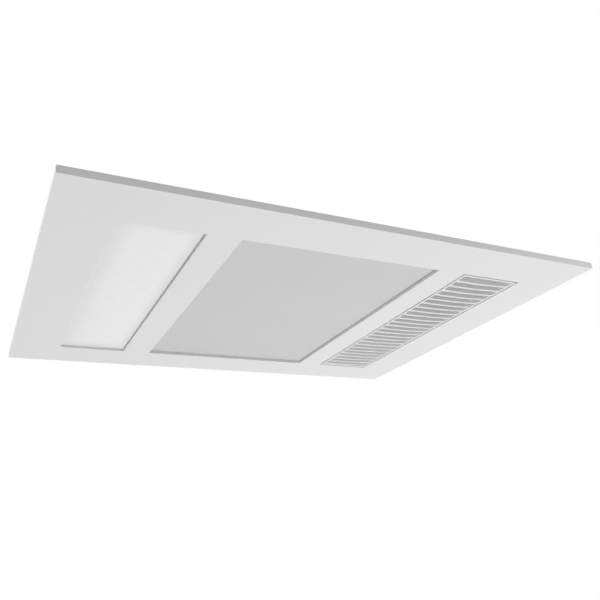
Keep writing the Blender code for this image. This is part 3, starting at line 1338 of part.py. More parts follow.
def cover_screw_places():
    """Two corners of the wiring box, across from each other."""
    reach_x = WIRING_WIDTH / 2 - COVER_SCREW_INSET
    reach_z = WIRING_HEIGHT / 2 - COVER_SCREW_INSET
    return [(side * reach_x, WIRING_Z + side * reach_z) for side in (-1, 1)]


def make_wiring_cover(x, high, z, holes):
    """The wiring box's cover, with a lip that fits inside the box, and its two screws."""
    low = high - COVER_WALL
    plate = prism(rounded(rectangle(x, z), WIRING_WALL, 2), low, high, "Y")
    inset = WIRING_WALL + GAP
    lip_x = (x[0] + inset, x[1] - inset)
    lip_z = (z[0] + inset, z[1] - inset)
    lip = box(lip_x, (high - SINK, high + COVER_LIP), lip_z)
    hollow = box(
        (lip_x[0] + WIRING_WALL, lip_x[1] - WIRING_WALL),
        (high, high + COVER_LIP + OVERRUN),
        (lip_z[0] + WIRING_WALL, lip_z[1] - WIRING_WALL),
    )
    past_lip = high + COVER_LIP + OVERRUN
    ways = [rod(COVER_SCREW_RADIUS + GAP, low - OVERRUN, past_lip, place, "Y") for place in holes]
    room = [rod(COVER_POST_RADIUS + GAP, high + GAP / 2, past_lip, place, "Y") for place in holes]
    steps = [
        ("UNION", lip),
        ("DIFFERENCE", hollow),
        ("DIFFERENCE", joined(room)),
        ("DIFFERENCE", joined(ways)),
    ]
    worked("wiring_cover", grey_plastic(), plate, steps)
    for number, place in enumerate(holes, 1):
        top = low - GAP
        head = rod(COVER_SCREW_HEAD, top - COVER_SCREW_HEAD_HEIGHT, top, place, "Y")
        shank = rod(COVER_SCREW_RADIUS, top - SINK, top + COVER_SCREW_LENGTH, place, "Y")
        piece(f"cover_screw_{number}", steel(), head, add=[shank])


def make_terminals(back, low):
    """A row of screw terminals: a block with a slot between each pair of poles."""
    x = span(0, BLOCK_LENGTH)
    pitch = BLOCK_LENGTH / BLOCK_POLES
    outline = [(x[0], low), (x[1], low), (x[1], low + BLOCK_HEIGHT)]
    for i in range(BLOCK_POLES - 1, 0, -1):
        edge = x[0] + i * pitch
        floor = low + BLOCK_HEIGHT - BLOCK_SLOT_DEPTH
        outline += [
            (edge + BLOCK_SLOT / 2, low + BLOCK_HEIGHT),
            (edge + BLOCK_SLOT / 2, floor),
            (edge - BLOCK_SLOT / 2, floor),
            (edge - BLOCK_SLOT / 2, low + BLOCK_HEIGHT),
        ]
    outline.append((x[0], low + BLOCK_HEIGHT))
    piece("terminal_block", board_white(), prism(outline, back - BLOCK_DEPTH, back, "Y"))


def make_gland(side_x, place):
    """The cable inlet: a body with a domed cap outside the box and a lock nut inside."""
    out = side_x - GAP
    hex_end = out - GLAND_HEX_LENGTH
    dome_end = hex_end - GLAND_DOME_LENGTH
    inner_end = side_x + WIRING_WALL + GAP + GLAND_NUT_LENGTH + SINK
    nut = prism(hexagon(place, GLAND_HEX_RADIUS), hex_end, out, "X")
    thread = rod(GLAND_THREAD_RADIUS, out - SINK, inner_end, place, "X", ROUND_SIDES)
    profile = [
        (0, hex_end + SINK),
        (GLAND_DOME_RADIUS, hex_end + SINK),
        (GLAND_DOME_RADIUS, dome_end + GLAND_DOME_RADIUS / 2),
        (GLAND_DOME_RADIUS * 3 / 4, dome_end + GLAND_DOME_RADIUS / 8),
        (GLAND_DOME_RADIUS * 5 / 8, dome_end),
        (0, dome_end),
    ]
    dome = revolve(profile, place, "X")
    bore = rod(GLAND_BORE, dome_end - OVERRUN, inner_end + OVERRUN, place, "X", ROUND_SIDES)
    piece("cable_gland", black_plastic(), nut, add=[thread, dome], cut=[bore])
    low = side_x + WIRING_WALL + GAP
    lock = prism(hexagon(place, GLAND_HEX_RADIUS), low, low + GLAND_NUT_LENGTH, "X")
    hole_x = (low - OVERRUN, low + GLAND_NUT_LENGTH + OVERRUN)
    hole = rod(GLAND_THREAD_RADIUS + GAP, *hole_x, place, "X", ROUND_SIDES)
    piece("gland_nut", black_plastic(), lock, cut=[hole])


def make_grommet():
    """A ring that lines the hole between the wiring box and the casing."""
    outer = GROMMET_RADIUS + GROMMET_LIP
    wall = (-OUTER_Y - GAP, -INNER_Y + GAP)
    profile = [
        (GROMMET_BORE, wall[0] - WIRING_WALL),
        (outer, wall[0] - WIRING_WALL),
        (outer, wall[0]),
        (GROMMET_RADIUS, wall[0]),
        (GROMMET_RADIUS, wall[1]),
        (outer, wall[1]),
        (outer, wall[1] + GROMMET_LIP_WALL),
        (GROMMET_BORE, wall[1] + GROMMET_LIP_WALL),
    ]
    piece("wire_grommet", rubber(), revolve(profile, (0, WIRING_Z), "Y"))


def main():
    clear_scene()
    make_fascia()
    make_fascia_screws()
    make_intake_panel()
    make_grille()
    make_light()
    make_casing_body()
    make_casing_ends()
    make_rail("rail_left", LEFT_BAR, -1)
    make_rail("rail_right", RIGHT_BAR, 1)
    make_clamps()
    make_scroll()
    make_inlet_plate()
    make_impeller()
    make_exhaust_motor()
    make_spigot()
    make_damper()
    make_heater_duct()
    make_element()
    make_rotor()
    make_housing()
    make_blower_tongue()
    make_heater_motor()
    make_thermal_cutout()
    make_wiring_box()


main()
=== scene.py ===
import math

import bmesh
import bpy
from mathutils import Matrix, Vector


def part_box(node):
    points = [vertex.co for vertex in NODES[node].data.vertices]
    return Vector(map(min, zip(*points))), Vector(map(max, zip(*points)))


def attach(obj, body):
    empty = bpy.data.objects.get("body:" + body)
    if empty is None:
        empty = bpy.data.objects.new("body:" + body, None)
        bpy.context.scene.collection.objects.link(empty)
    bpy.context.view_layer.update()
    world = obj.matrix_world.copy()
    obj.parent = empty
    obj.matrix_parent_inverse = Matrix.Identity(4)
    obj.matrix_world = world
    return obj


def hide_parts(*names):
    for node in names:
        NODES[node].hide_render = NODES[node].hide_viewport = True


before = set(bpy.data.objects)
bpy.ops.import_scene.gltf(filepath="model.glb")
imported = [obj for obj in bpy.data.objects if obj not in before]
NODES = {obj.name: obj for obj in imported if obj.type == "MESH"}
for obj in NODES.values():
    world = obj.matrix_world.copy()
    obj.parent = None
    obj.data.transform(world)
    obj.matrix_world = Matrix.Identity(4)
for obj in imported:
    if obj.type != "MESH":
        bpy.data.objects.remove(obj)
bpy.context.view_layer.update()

# Lengths are in metres, lamp powers in watts and colours in linear red, green and blue. The ceiling's
# underside is the plane z = 0, and the unit's face hangs a little below it.
FULL_TURN = 2 * math.pi
WHITE = (1.0, 1.0, 1.0, 1.0)
ALONG_X, ALONG_Y, ALONG_Z = (1, 0, 0), (0, 1, 0), (0, 0, 1)
AGAINST_X, AGAINST_Y = (-1, 0, 0), (0, -1, 0)


# ---------------------------------------------------------------- camera, stage and lights

CAMERA_LENS = 39.042
CAMERA_SENSOR = 36.0
CAMERA_CLIP = (0.01, 60.0)
CAMERA_PLACE = (-0.2843, -0.5835, -0.2545)
# The turn from the world's axes to the picture's (right, down, into the picture), as axis times angle.
CAMERA_TURN = (1.14133166, -0.338568655, 0.358427959)

WORLD_LIGHT = 0.375

FLOOR_GREY = (0.85, 0.85, 0.85, 1.0)
FLOOR_HALF = (14.0, 14.0)
FLOOR_Z = -2.3
FLOOR_FADE = (2.4, 8.0)             # distances from the origin between which the floor turns white
FLOOR_WHITE_SHARE = (0.80, 1.0)     # how white it is at those distances

CUT_OUT_HALF = (0.2075, 0.1575)
CEILING_HALF = (0.80, 0.80)
CEILING_Z = 0.0002


def make_camera():
    """The photograph's camera, solved from the fascia's corners and its openings."""
    data = bpy.data.cameras.new("camera")
    data.sensor_width = CAMERA_SENSOR
    data.lens = CAMERA_LENS
    data.clip_start, data.clip_end = CAMERA_CLIP
    camera = bpy.data.objects.new("camera", data)
    bpy.context.scene.collection.objects.link(camera)
    turn = Vector(CAMERA_TURN)
    right, down, ahead = Matrix.Rotation(turn.length, 3, turn.normalized())
    basis = Matrix((right, -down, -ahead)).transposed()
    camera.matrix_world = Matrix.Translation(CAMERA_PLACE) @ basis.to_4x4()
    bpy.context.scene.camera = camera


def put(tree, socket, value):
    """Links a socket to a node's output, or sets it to a constant."""
    if isinstance(value, bpy.types.NodeSocket):
        tree.links.new(value, socket)
    else:
        socket.default_value = value


def new_math(tree, operation, *values):
    node = tree.nodes.new("ShaderNodeMath")
    node.operation = operation
    for socket, value in zip(node.inputs, values):
        put(tree, socket, value)
    return node.outputs[0]


def white_source(tree, kind, strength=1.0):
    """A white background or emission shader."""
    node = tree.nodes.new(kind)
    node.inputs["Color"].default_value = WHITE
    node.inputs["Strength"].default_value = strength
    return node.outputs[0]


def seen_share(tree):
    """1 for rays that show the background: from the camera, in a mirror or through glass."""
    path = tree.nodes.new("ShaderNodeLightPath")
    seen = new_math(tree, "MAXIMUM", path.outputs["Is Camera Ray"], path.outputs["Is Glossy Ray"])
    return new_math(tree, "MAXIMUM", seen, path.outputs["Is Transmission Ray"])


def finish_mix(tree, kind, share, first, second):
    """The output node shows the second shader by its share, and the first one for the rest."""
    mix = tree.nodes.new("ShaderNodeMixShader")
    for socket, value in zip(mix.inputs, (share, first, second)):
        tree.links.new(value, socket)
    out = tree.nodes.new(kind)
    tree.links.new(mix.outputs[0], out.inputs["Surface"])


def empty_material(name):
    made = bpy.data.materials.new(name)
    made.use_nodes = True
    made.node_tree.nodes.clear()
    return made, made.node_tree


def make_world():
    """White where the background shows, and a weaker white as a light."""
    world = bpy.data.worlds.new("studio")
    bpy.context.scene.world = world
    world.use_nodes = True
    tree = world.node_tree
    tree.nodes.clear()
    light = white_source(tree, "ShaderNodeBackground", WORLD_LIGHT)
    shown = white_source(tree, "ShaderNodeBackground")
    finish_mix(tree, "ShaderNodeOutputWorld", seen_share(tree), light, shown)


def floor_material():
    """Pale grey near the unit, fading to the background's white with distance."""
    made, tree = empty_material("stage_floor")
    plain = tree.nodes.new("ShaderNodeBsdfDiffuse")
    plain.inputs["Color"].default_value = FLOOR_GREY
    place = tree.nodes.new("ShaderNodeNewGeometry")
    distance = tree.nodes.new("ShaderNodeVectorMath")
    distance.operation = "LENGTH"
    tree.links.new(place.outputs["Position"], distance.inputs[0])
    fade = tree.nodes.new("ShaderNodeMapRange")
    fade.interpolation_type = "SMOOTHSTEP"
    fade.inputs["From Min"].default_value, fade.inputs["From Max"].default_value = FLOOR_FADE
    fade.inputs["To Min"].default_value, fade.inputs["To Max"].default_value = FLOOR_WHITE_SHARE
    tree.links.new(distance.outputs["Value"], fade.inputs["Value"])
    share = new_math(tree, "MULTIPLY", seen_share(tree), fade.outputs[0])
    glow = white_source(tree, "ShaderNodeEmission")
    finish_mix(tree, "ShaderNodeOutputMaterial", share, plain.outputs[0], glow)
    return made


def ceiling_material():
    """White to the camera from below, and clear to everything else."""
    made, tree = empty_material("stage_board")
    path = tree.nodes.new("ShaderNodeLightPath")
    side = tree.nodes.new("ShaderNodeNewGeometry")
    front = new_math(tree, "SUBTRACT", 1.0, side.outputs["Backfacing"])
    share = new_math(tree, "MULTIPLY", path.outputs["Is Camera Ray"], front)
    clear = tree.nodes.new("ShaderNodeBsdfTransparent")
    glow = white_source(tree, "ShaderNodeEmission")
    finish_mix(tree, "ShaderNodeOutputMaterial", share, clear.outputs[0], glow)
    return made


def stage_mesh(name, points, faces, material):
    mesh = bpy.data.meshes.new(name)
    mesh.from_pydata(points, [], faces)
    mesh.materials.append(material)
    made = bpy.data.objects.new(name, mesh)
    bpy.context.scene.collection.objects.link(made)


def rectangle(half, z):
    x, y = half
    return [(-x, -y, z), (x, -y, z), (x, y, z), (-x, y, z)]


def make_stage():
    """The room's floor, and the underside of the ceiling round the cut-out."""
    stage_mesh("stage_floor", rectangle(FLOOR_HALF, FLOOR_Z), [(0, 1, 2, 3)], floor_material())
    points = rectangle(CUT_OUT_HALF, CEILING_Z) + rectangle(CEILING_HALF, CEILING_Z)
    faces = [((i + 1) % 4, 4 + (i + 1) % 4, 4 + i, i) for i in range(4)]
    stage_mesh("stage_ceiling", points, faces, ceiling_material())


def area_lamp(name, place, size, power, target=(0.0, 0.0, 0.0), glossy=True):
    data = bpy.data.lights.new(name, "AREA")
    data.shape = "DISK"
    data.size = size
    data.energy = power
    lamp = bpy.data.objects.new(name, data)
    bpy.context.scene.collection.objects.link(lamp)
    lamp.location = place
    aim = Vector(target) - Vector(place)
    lamp.rotation_euler = aim.to_track_quat("-Z", "Y").to_euler()
    lamp.visible_camera = False
    lamp.visible_glossy = glossy


def make_lamps():
    """Soft lamps. The grazing one lights the openings' right returns, and isn't mirrored in the zinc."""
    area_lamp("lamp_low", (0.68, 0.0, -1.72), size=0.9, power=16.7, target=(0.1, 0.0, 0.0))
    area_lamp("lamp_near_right", (2.0, -1.30, 0.45), size=0.9, power=17.0)
    area_lamp("lamp_left", (-2.3, 0.20, 0.70), size=0.9, power=15.0)
    area_lamp("lamp_grazing", (-2.4, 0.0, -0.14), size=0.5, power=5.4, glossy=False)
    area_lamp("lamp_high", (-1.20, 0.50, 2.20), size=1.8, power=26.0)
    area_lamp("lamp_back", (1.60, 1.50, 1.50), size=1.6, power=14.0)


# ---------------------------------------------------------------- materials

# Nearly all values of a noise lie between these.
NOISE_LOW, NOISE_HIGH = 0.3, 0.7


class Nodes:
    """A material's node tree, with short calls for the nodes used here."""

    def __init__(self, name):
        self.material = bpy.data.materials.new("fine_" + name)
        self.material.use_nodes = True
        self.tree = self.material.node_tree
        self.shader = self.tree.nodes["Principled BSDF"]
        coordinates = self.tree.nodes.new("ShaderNodeTexCoord")
        self.place = coordinates.outputs["Object"]

    def link(self, source, target):
        self.tree.links.new(source, target)

    def stretched(self, scale):
        """The object's coordinates with each axis times its scale."""
        node = self.tree.nodes.new("ShaderNodeMapping")
        node.inputs["Scale"].default_value = scale
        self.link(self.place, node.inputs["Vector"])
        return node.outputs[0]

    def noise(self, scale, detail=3.0, rough=0.5, source=None, distortion=0.0):
        node = self.tree.nodes.new("ShaderNodeTexNoise")
        node.inputs["Scale"].default_value = scale
        node.inputs["Detail"].default_value = detail
        node.inputs["Roughness"].default_value = rough
        node.inputs["Distortion"].default_value = distortion
        self.link(source or self.place, node.inputs["Vector"])
        return node.outputs["Fac"]

    def cells(self, scale, source=None, output="Color", feature="F1"):
        node = self.tree.nodes.new("ShaderNodeTexVoronoi")
        node.feature = feature
        node.inputs["Scale"].default_value = scale
        self.link(source or self.place, node.inputs["Vector"])
        return node.outputs[output]

    def math(self, operation, *values):
        return new_math(self.tree, operation, *values)

    def weigh(self, *pairs):
        """The sum of values, each times its weight."""
        parts = [self.math("MULTIPLY", value, weight) for value, weight in pairs]
        total = parts[0]
        for part in parts[1:]:
            total = self.math("ADD", total, part)
        return total

    def span(self, value, low, high, to_low=0.0, to_high=1.0, smooth=False):
        """Maps the range from low to high to another, with its ends held."""
        node = self.tree.nodes.new("ShaderNodeMapRange")
        node.interpolation_type = "SMOOTHSTEP" if smooth else "LINEAR"
        node.inputs["From Min"].default_value = low
        node.inputs["From Max"].default_value = high
        node.inputs["To Min"].default_value = to_low
        node.inputs["To Max"].default_value = to_high
        self.link(value, node.inputs["Value"])
        return node.outputs["Result"]

    def spread(self, noise, to_low=0.0, to_high=1.0):
        """Maps a noise's usual range to another."""
        return self.span(noise, NOISE_LOW, NOISE_HIGH, to_low, to_high)

    def fade(self, value, start, end):
        """A smooth step from 0 at the start to 1 at the end."""
        return self.span(value, start, end, smooth=True)

    def blend(self, share, first, second):
        """Mixes two colours, each given as three numbers or as a node's output."""
        node = self.tree.nodes.new("ShaderNodeMix")
        node.data_type = "RGBA"
        self.link(share, node.inputs[0])
        for socket, value in ((node.inputs[6], first), (node.inputs[7], second)):
            put(self.tree, socket, (*value, 1.0) if isinstance(value, tuple) else value)
        return node.outputs[2]

    def axes(self):
        """The object's x and y coordinates."""
        node = self.tree.nodes.new("ShaderNodeSeparateXYZ")
        self.link(self.place, node.inputs[0])
        return node.outputs[0], node.outputs[1]

    def bump(self, height, depth, strength, before=None):
        node = self.tree.nodes.new("ShaderNodeBump")
        node.inputs["Strength"].default_value = strength
        node.inputs["Distance"].default_value = depth
        self.link(height, node.inputs["Height"])
        if before:
            self.link(before, node.inputs["Normal"])
        return node.outputs[0]

    def finish(self, colour, roughness, normal, **constants):
        self.link(colour, self.shader.inputs["Base Color"])
        self.link(roughness, self.shader.inputs["Roughness"])
        self.link(normal, self.shader.inputs["Normal"])
        for name, value in constants.items():
            self.shader.inputs[name.replace("_", " ")].default_value = value
        return self.material


def moulded(name, colour, spread, grain, depth, rough, specular=0.45):
    """Moulded plastic: a fine spark-eroded grain, faint flow clouds and a little handling dust."""
    n = Nodes(name)
    cloud = n.noise(scale=9.0, detail=2.0, rough=0.4, distortion=0.4)
    speck = n.noise(scale=grain * 0.35, detail=2.0, rough=0.6)
    skin = n.noise(scale=grain, rough=0.6)
    dark = tuple(c * (1 - spread) for c in colour)
    light = tuple(c * (1 + spread) for c in colour)
    shade = n.blend(n.span(n.weigh((cloud, 0.65), (speck, 0.35)), 0.34, 0.66), dark, light)
    level = n.spread(n.weigh((skin, 0.6), (cloud, 0.4)), *rough)
    return n.finish(shade, level, n.bump(skin, depth, strength=0.6), Specular_IOR_Level=specular)


def white_plastic():
    return moulded("white_plastic", (0.80, 0.80, 0.80), spread=0.012, grain=1500.0, depth=0.00006,
                   rough=(0.42, 0.55), specular=0.4)


def grey_plastic():
    return moulded("grey_plastic", (0.115, 0.12, 0.125), spread=0.16, grain=1100.0, depth=0.00010,
                   rough=(0.42, 0.62))


def black_plastic():
    return moulded("black_plastic", (0.022, 0.022, 0.024), spread=0.30, grain=1200.0, depth=0.00010,
                   rough=(0.36, 0.58))


def screen():
    """A painted thin sheet with fine staggered holes, coloured near black as painted shade for the dark space behind
    them.
    """
    n = Nodes("screen")
    pitch = 0.0011
    radius, blur = 0.25, 0.05       # of a hole and of its edge, as shares of the pitch
    row = math.sqrt(3)              # from one row to the next but one, as a share of the pitch
    x, y = n.axes()

    def from_hole(shift):
        """The distance from the nearest hole of one half of the rows, as a share of the pitch."""
        across = n.math("ADD", n.math("DIVIDE", x, pitch * row), shift)
        along = n.math("ADD", n.math("DIVIDE", y, pitch), shift)
        a = n.math("MULTIPLY", n.math("SUBTRACT", n.math("FRACT", across), 0.5), row)
        b = n.math("SUBTRACT", n.math("FRACT", along), 0.5)
        return n.math("SQRT", n.math("ADD", n.math("MULTIPLY", a, a), n.math("MULTIPLY", b, b)))

    nearest = n.math("MINIMUM", from_hole(0.0), from_hole(0.5))
    solid = n.fade(nearest, radius - blur, radius + blur)
    cloud = n.noise(scale=14.0, detail=2.0)
    sheet = n.blend(n.spread(cloud), (0.722, 0.722, 0.727), (0.742, 0.742, 0.747))
    # Near black in the holes: painted shade standing in for the dark space seen through them, not the sheet's own
    # colour.
    shade = n.blend(solid, (0.26, 0.26, 0.265), sheet)
    grain = n.noise(scale=1600.0, detail=2.0, rough=0.6)
    skin = n.bump(grain, depth=0.00004, strength=0.5)
    normal = n.bump(solid, depth=0.00015, strength=0.5, before=skin)
    return n.finish(shade, n.spread(grain, 0.40, 0.50), normal, Specular_IOR_Level=0.6)


def opal():
    """A lit opal sheet: the glow falls off towards the borders, over faint rows of light chips."""
    n = Nodes("opal")
    low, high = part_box("light_diffuser")
    full_glow, chip_ripple, frost_ripple = 0.100, 0.006, 0.006
    row_pitch, chip_pitch = 0.025, 0.028
    slope = 0.014                   # how far the left fade moves over along the edge, per length
    far_left_loss = 0.5             # the share of its glow that the far left corner lacks
    x, y = n.axes()
    middle = (low.x + high.x) / 2
    slant = n.math("SUBTRACT", x, n.math("MULTIPLY", n.math("SUBTRACT", high.y, y), slope))
    left = n.fade(slant, low.x - 0.005, low.x + 0.015)
    right = n.fade(x, high.x, high.x - 0.012)
    near = n.fade(y, low.y - 0.006, low.y + 0.016)
    far = n.fade(y, high.y + 0.006, high.y - 0.022)
    left_part = n.fade(x, low.x + 0.040, low.x - 0.004)
    loss = n.math("MULTIPLY", left_part, n.span(y, low.y * 0.6, high.y, 0.0, far_left_loss))
    left = n.math("MULTIPLY", left, n.math("SUBTRACT", 1.0, loss))
    inside = n.math("MULTIPLY", n.math("MULTIPLY", left, right), n.math("MULTIPLY", near, far))
    row = n.math("COSINE", n.math("MULTIPLY", n.math("SUBTRACT", x, middle), FULL_TURN / row_pitch))
    chip = n.math("COSINE", n.math("MULTIPLY", y, FULL_TURN / chip_pitch))
    spots = n.math("MULTIPLY", n.math("MULTIPLY", row, chip), chip_ripple)
    frost = n.noise(scale=1300.0, rough=0.6)
    lit = n.math("MULTIPLY", inside, n.math("ADD", spots, full_glow))
    glow = n.math("ADD", lit, n.math("MULTIPLY", frost, frost_ripple))
    n.link(n.blend(glow, (0.0, 0.0, 0.0), (1.0, 1.0, 0.995)), n.shader.inputs["Emission Color"])
    shade = n.blend(n.spread(frost), (0.765, 0.765, 0.765), (0.785, 0.785, 0.785))
    normal = n.bump(frost, depth=0.00005, strength=0.5)
    return n.finish(shade, n.spread(frost, 0.34, 0.44), normal, Emission_Strength=1.0, Specular_IOR_Level=0.4)


def zinc_sheet():
    """Hot-dipped zinc: crystals of a few millimetres that mirror the light differently, and roll lines."""
    n = Nodes("zinc_sheet")
    crystals = 150.0                # scale of the crystals
    warp_reach = 0.010              # how far their borders wander
    warp = n.noise(scale=60.0, detail=2.0)
    three = n.tree.nodes.new("ShaderNodeCombineXYZ")
    for socket in three.inputs:
        n.link(warp, socket)
    reach = n.tree.nodes.new("ShaderNodeVectorMath")
    reach.operation = "SCALE"
    reach.inputs["Scale"].default_value = warp_reach
    n.link(three.outputs[0], reach.inputs[0])
    warped = n.tree.nodes.new("ShaderNodeVectorMath")
    warped.operation = "ADD"
    n.link(n.place, warped.inputs[0])
    n.link(reach.outputs[0], warped.inputs[1])
    parts = n.tree.nodes.new("ShaderNodeSeparateColor")
    n.link(n.cells(crystals, warped.outputs[0]), parts.inputs[0])
    tint, gloss = parts.outputs[0], parts.outputs[1]
    feather = n.noise(scale=420.0, rough=0.65, source=n.stretched((1.0, 0.28, 1.0)), distortion=1.2)
    rolled = n.noise(scale=240.0, detail=2.0, source=n.stretched((1.0, 0.05, 1.0)))
    cloud = n.noise(scale=7.0)
    tone = n.weigh((tint, 0.30), (feather, 0.40), (cloud, 0.30))
    shade = n.blend(n.span(tone, 0.22, 0.78), (0.40, 0.415, 0.43), (0.60, 0.615, 0.625))
    level = n.math("ADD", n.span(gloss, 0.0, 1.0, 0.38, 0.48), n.math("MULTIPLY", rolled, 0.10))
    border = n.cells(crystals, warped.outputs[0], "Distance", "DISTANCE_TO_EDGE")
    skin = n.bump(n.span(border, 0.0, 0.06), depth=0.00004, strength=0.35)
    normal = n.bump(feather, depth=0.00005, strength=0.35, before=skin)
    return n.finish(shade, level, normal, Metallic=0.80)


def steel():
    """Bright steel, brushed along Z, with faint stains."""
    n = Nodes("steel")
    brushed = n.noise(scale=900.0, rough=0.6, source=n.stretched((1.0, 1.0, 0.12)))
    stain = n.noise(scale=130.0, rough=0.55)
    shade = n.blend(n.span(stain, 0.3, 0.72), (0.40, 0.405, 0.41), (0.62, 0.61, 0.585))
    level = n.math("ADD", n.spread(stain, 0.20, 0.34), n.math("MULTIPLY", brushed, 0.12))
    return n.finish(shade, level, n.bump(brushed, depth=0.00004, strength=0.4), Metallic=1.0)


def aluminium():
    """Rolled aluminium with a grain along X."""
    n = Nodes("aluminium")
    grain = n.noise(scale=1400.0, rough=0.6, source=n.stretched((0.08, 1.0, 1.0)))
    heat = n.noise(scale=45.0, detail=2.0)
    shade = n.blend(n.spread(heat), (0.66, 0.665, 0.67), (0.80, 0.80, 0.79))
    level = n.span(grain, 0.2, 0.8, 0.28, 0.44)
    return n.finish(shade, level, n.bump(grain, depth=0.00003, strength=0.4), Metallic=0.95)


def rubber():
    """Matt black rubber with pores and a little dust."""
    n = Nodes("rubber")
    dust = n.noise(scale=70.0, rough=0.6)
    pore = n.noise(scale=1500.0, rough=0.65)
    shade = n.blend(n.span(dust, 0.35, 0.75), (0.022, 0.022, 0.022), (0.052, 0.051, 0.049))
    normal = n.bump(pore, depth=0.00010, strength=0.6)
    return n.finish(shade, n.spread(pore, 0.70, 0.92), normal, Specular_IOR_Level=0.3)


def board_white():
    """A circuit board's white lacquer over its weave."""
    n = Nodes("board_white")
    ink = n.noise(scale=420.0, detail=2.0)
    weave = n.cells(900.0, output="Distance")
    shade = n.blend(n.spread(ink), (0.74, 0.75, 0.73), (0.83, 0.83, 0.81))
    normal = n.bump(weave, depth=0.00003, strength=0.4)
    return n.finish(shade, n.span(weave, 0.0, 0.8, 0.30, 0.46), normal, Specular_IOR_Level=0.5)


def tray_paint():
    """White powder paint with orange peel."""
    n = Nodes("tray_paint")
    peel = n.noise(scale=300.0, detail=2.0)
    cloud = n.noise(scale=18.0, detail=2.0)
    shade = n.blend(n.spread(cloud), (0.76, 0.765, 0.765), (0.82, 0.82, 0.815))
    normal = n.bump(peel, depth=0.00008, strength=0.5)
    return n.finish(shade, n.spread(peel, 0.36, 0.52), normal, Specular_IOR_Level=0.45)


def insulator():
    """Brown insulating board, pressed from flecked layers."""
    n = Nodes("insulator")
    fleck = n.noise(scale=700.0, rough=0.6)
    layer = n.noise(scale=500.0, detail=2.0, source=n.stretched((0.15, 0.15, 1.0)))
    tone = n.span(n.weigh((fleck, 0.5), (layer, 0.5)), 0.32, 0.68)
    shade = n.blend(tone, (0.20, 0.095, 0.045), (0.36, 0.19, 0.10))
    normal = n.bump(fleck, depth=0.00006, strength=0.5)
    return n.finish(shade, n.spread(fleck, 0.48, 0.66), normal, Specular_IOR_Level=0.4)


def copper():
    """Enamelled wire, wound turn beside turn, with painted shade in the grooves between the turns."""
    n = Nodes("copper")
    wire_pitch = 0.0006
    along = n.axes()[1]
    turns = n.math("SINE", n.math("MULTIPLY", along, FULL_TURN / wire_pitch))
    height = n.span(turns, -1.0, 1.0)
    stain = n.noise(scale=150.0, rough=0.6)
    # Dark in the grooves and bright copper on the crests of the turns: painted shade between the turns, following the
    # same height as the bump.
    wire = n.blend(height, (0.20, 0.055, 0.018), (0.62, 0.25, 0.095))
    shade = n.blend(n.span(stain, 0.3, 0.8, 0.0, 0.5), wire, (0.45, 0.15, 0.06))
    normal = n.bump(height, depth=0.00015, strength=0.7)
    return n.finish(shade, n.spread(stain, 0.22, 0.36), normal, Metallic=0.85)


MATERIALS = {
    "white_plastic": white_plastic(),
    "screen": screen(),
    "opal": opal(),
    "zinc_sheet": zinc_sheet(),
    "steel": steel(),
    "aluminium": aluminium(),
    "grey_plastic": grey_plastic(),
    "black_plastic": black_plastic(),
    "rubber": rubber(),
    "board_white": board_white(),
    "tray_paint": tray_paint(),
    "insulator": insulator(),
    "copper": copper(),
}

EDGE_WIDTH = 0.0002
EDGE_WIDTHS = {
    "fascia": 0.0003,
    "intake_screen": 0.00015,
    "casing_body": 0.0003,
    "casing_end_near": 0.0003,
    "casing_end_far": 0.0003,
    "duct_spigot": 0.0005,
    "wiring_box": 0.0004,
    "wiring_cover": 0.0005,
    "led_driver": 0.0006,
}
EDGE_ANGLE = math.radians(40)       # edges sharper than this are rounded
FLAT_ANGLE = math.radians(0.4)      # faces that differ less than this are joined
WELD_REACH = 0.000002               # before the edges are rounded
CLOSE_REACH = 0.0000005             # after that, where the rounding left slivers


def dress_nodes():
    """Each CAD node gets its material with detail, and a small round on its sharp edges."""
    for name, node in NODES.items():
        slot = node.material_slots[0].material.name.split(".")[0]
        node.material_slots[0].material = MATERIALS[slot]
        weld = node.modifiers.new("weld", "WELD")
        weld.merge_threshold = WELD_REACH
        flat = node.modifiers.new("flat", "DECIMATE")
        flat.decimate_type = "DISSOLVE"
        flat.angle_limit = FLAT_ANGLE
        edge = node.modifiers.new("edge", "BEVEL")
        edge.width = EDGE_WIDTHS.get(name, EDGE_WIDTH)
        edge.segments = 2
        edge.limit_method = "ANGLE"
        edge.angle_limit = EDGE_ANGLE
        edge.use_clamp_overlap = False
        close = node.modifiers.new("close", "WELD")
        close.merge_threshold = CLOSE_REACH
        even = node.modifiers.new("even", "WEIGHTED_NORMAL")
        even.keep_sharp = False


# ---------------------------------------------------------------- pieces in mesh code

class Shape:
    """Points and faces gathered from several closed forms."""

    def __init__(self):
        self.points = []
        self.faces = []

    def rings(self, rings, closed=False):
        """Joins rings of equal count, one after the other, and caps both ends unless the row is closed."""
        start = len(self.points)
        count = len(rings[0])
        for ring in rings:
            self.points += ring
        steps = len(rings) if closed else len(rings) - 1
        for i in range(steps):
            a = start + i * count
            b = start + ((i + 1) % len(rings)) * count
            for j in range(count):
                k = (j + 1) % count
                self.faces.append((a + j, a + k, b + k, b + j))
        if not closed:
            self.faces.append(tuple(range(start, start + count))[::-1])
            last = start + (len(rings) - 1) * count
            self.faces.append(tuple(range(last, last + count)))

    def piece(self, name, slot, body, smooth=40):
        """Makes the object, with edges sharper than the smooth angle in degrees kept sharp."""
        mesh = bpy.data.meshes.new(name)
        mesh.from_pydata([tuple(p) for p in self.points], [], self.faces)
        work = bmesh.new()
        work.from_mesh(mesh)
        bmesh.ops.recalc_face_normals(work, faces=work.faces)
        work.to_mesh(mesh)
        work.free()
        mesh.shade_smooth()
        mesh.set_sharp_from_angle(angle=math.radians(smooth))
        mesh.materials.append(MATERIALS[slot])
        made = bpy.data.objects.new(name, mesh)
        bpy.context.scene.collection.objects.link(made)
        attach(made, body)
        return made


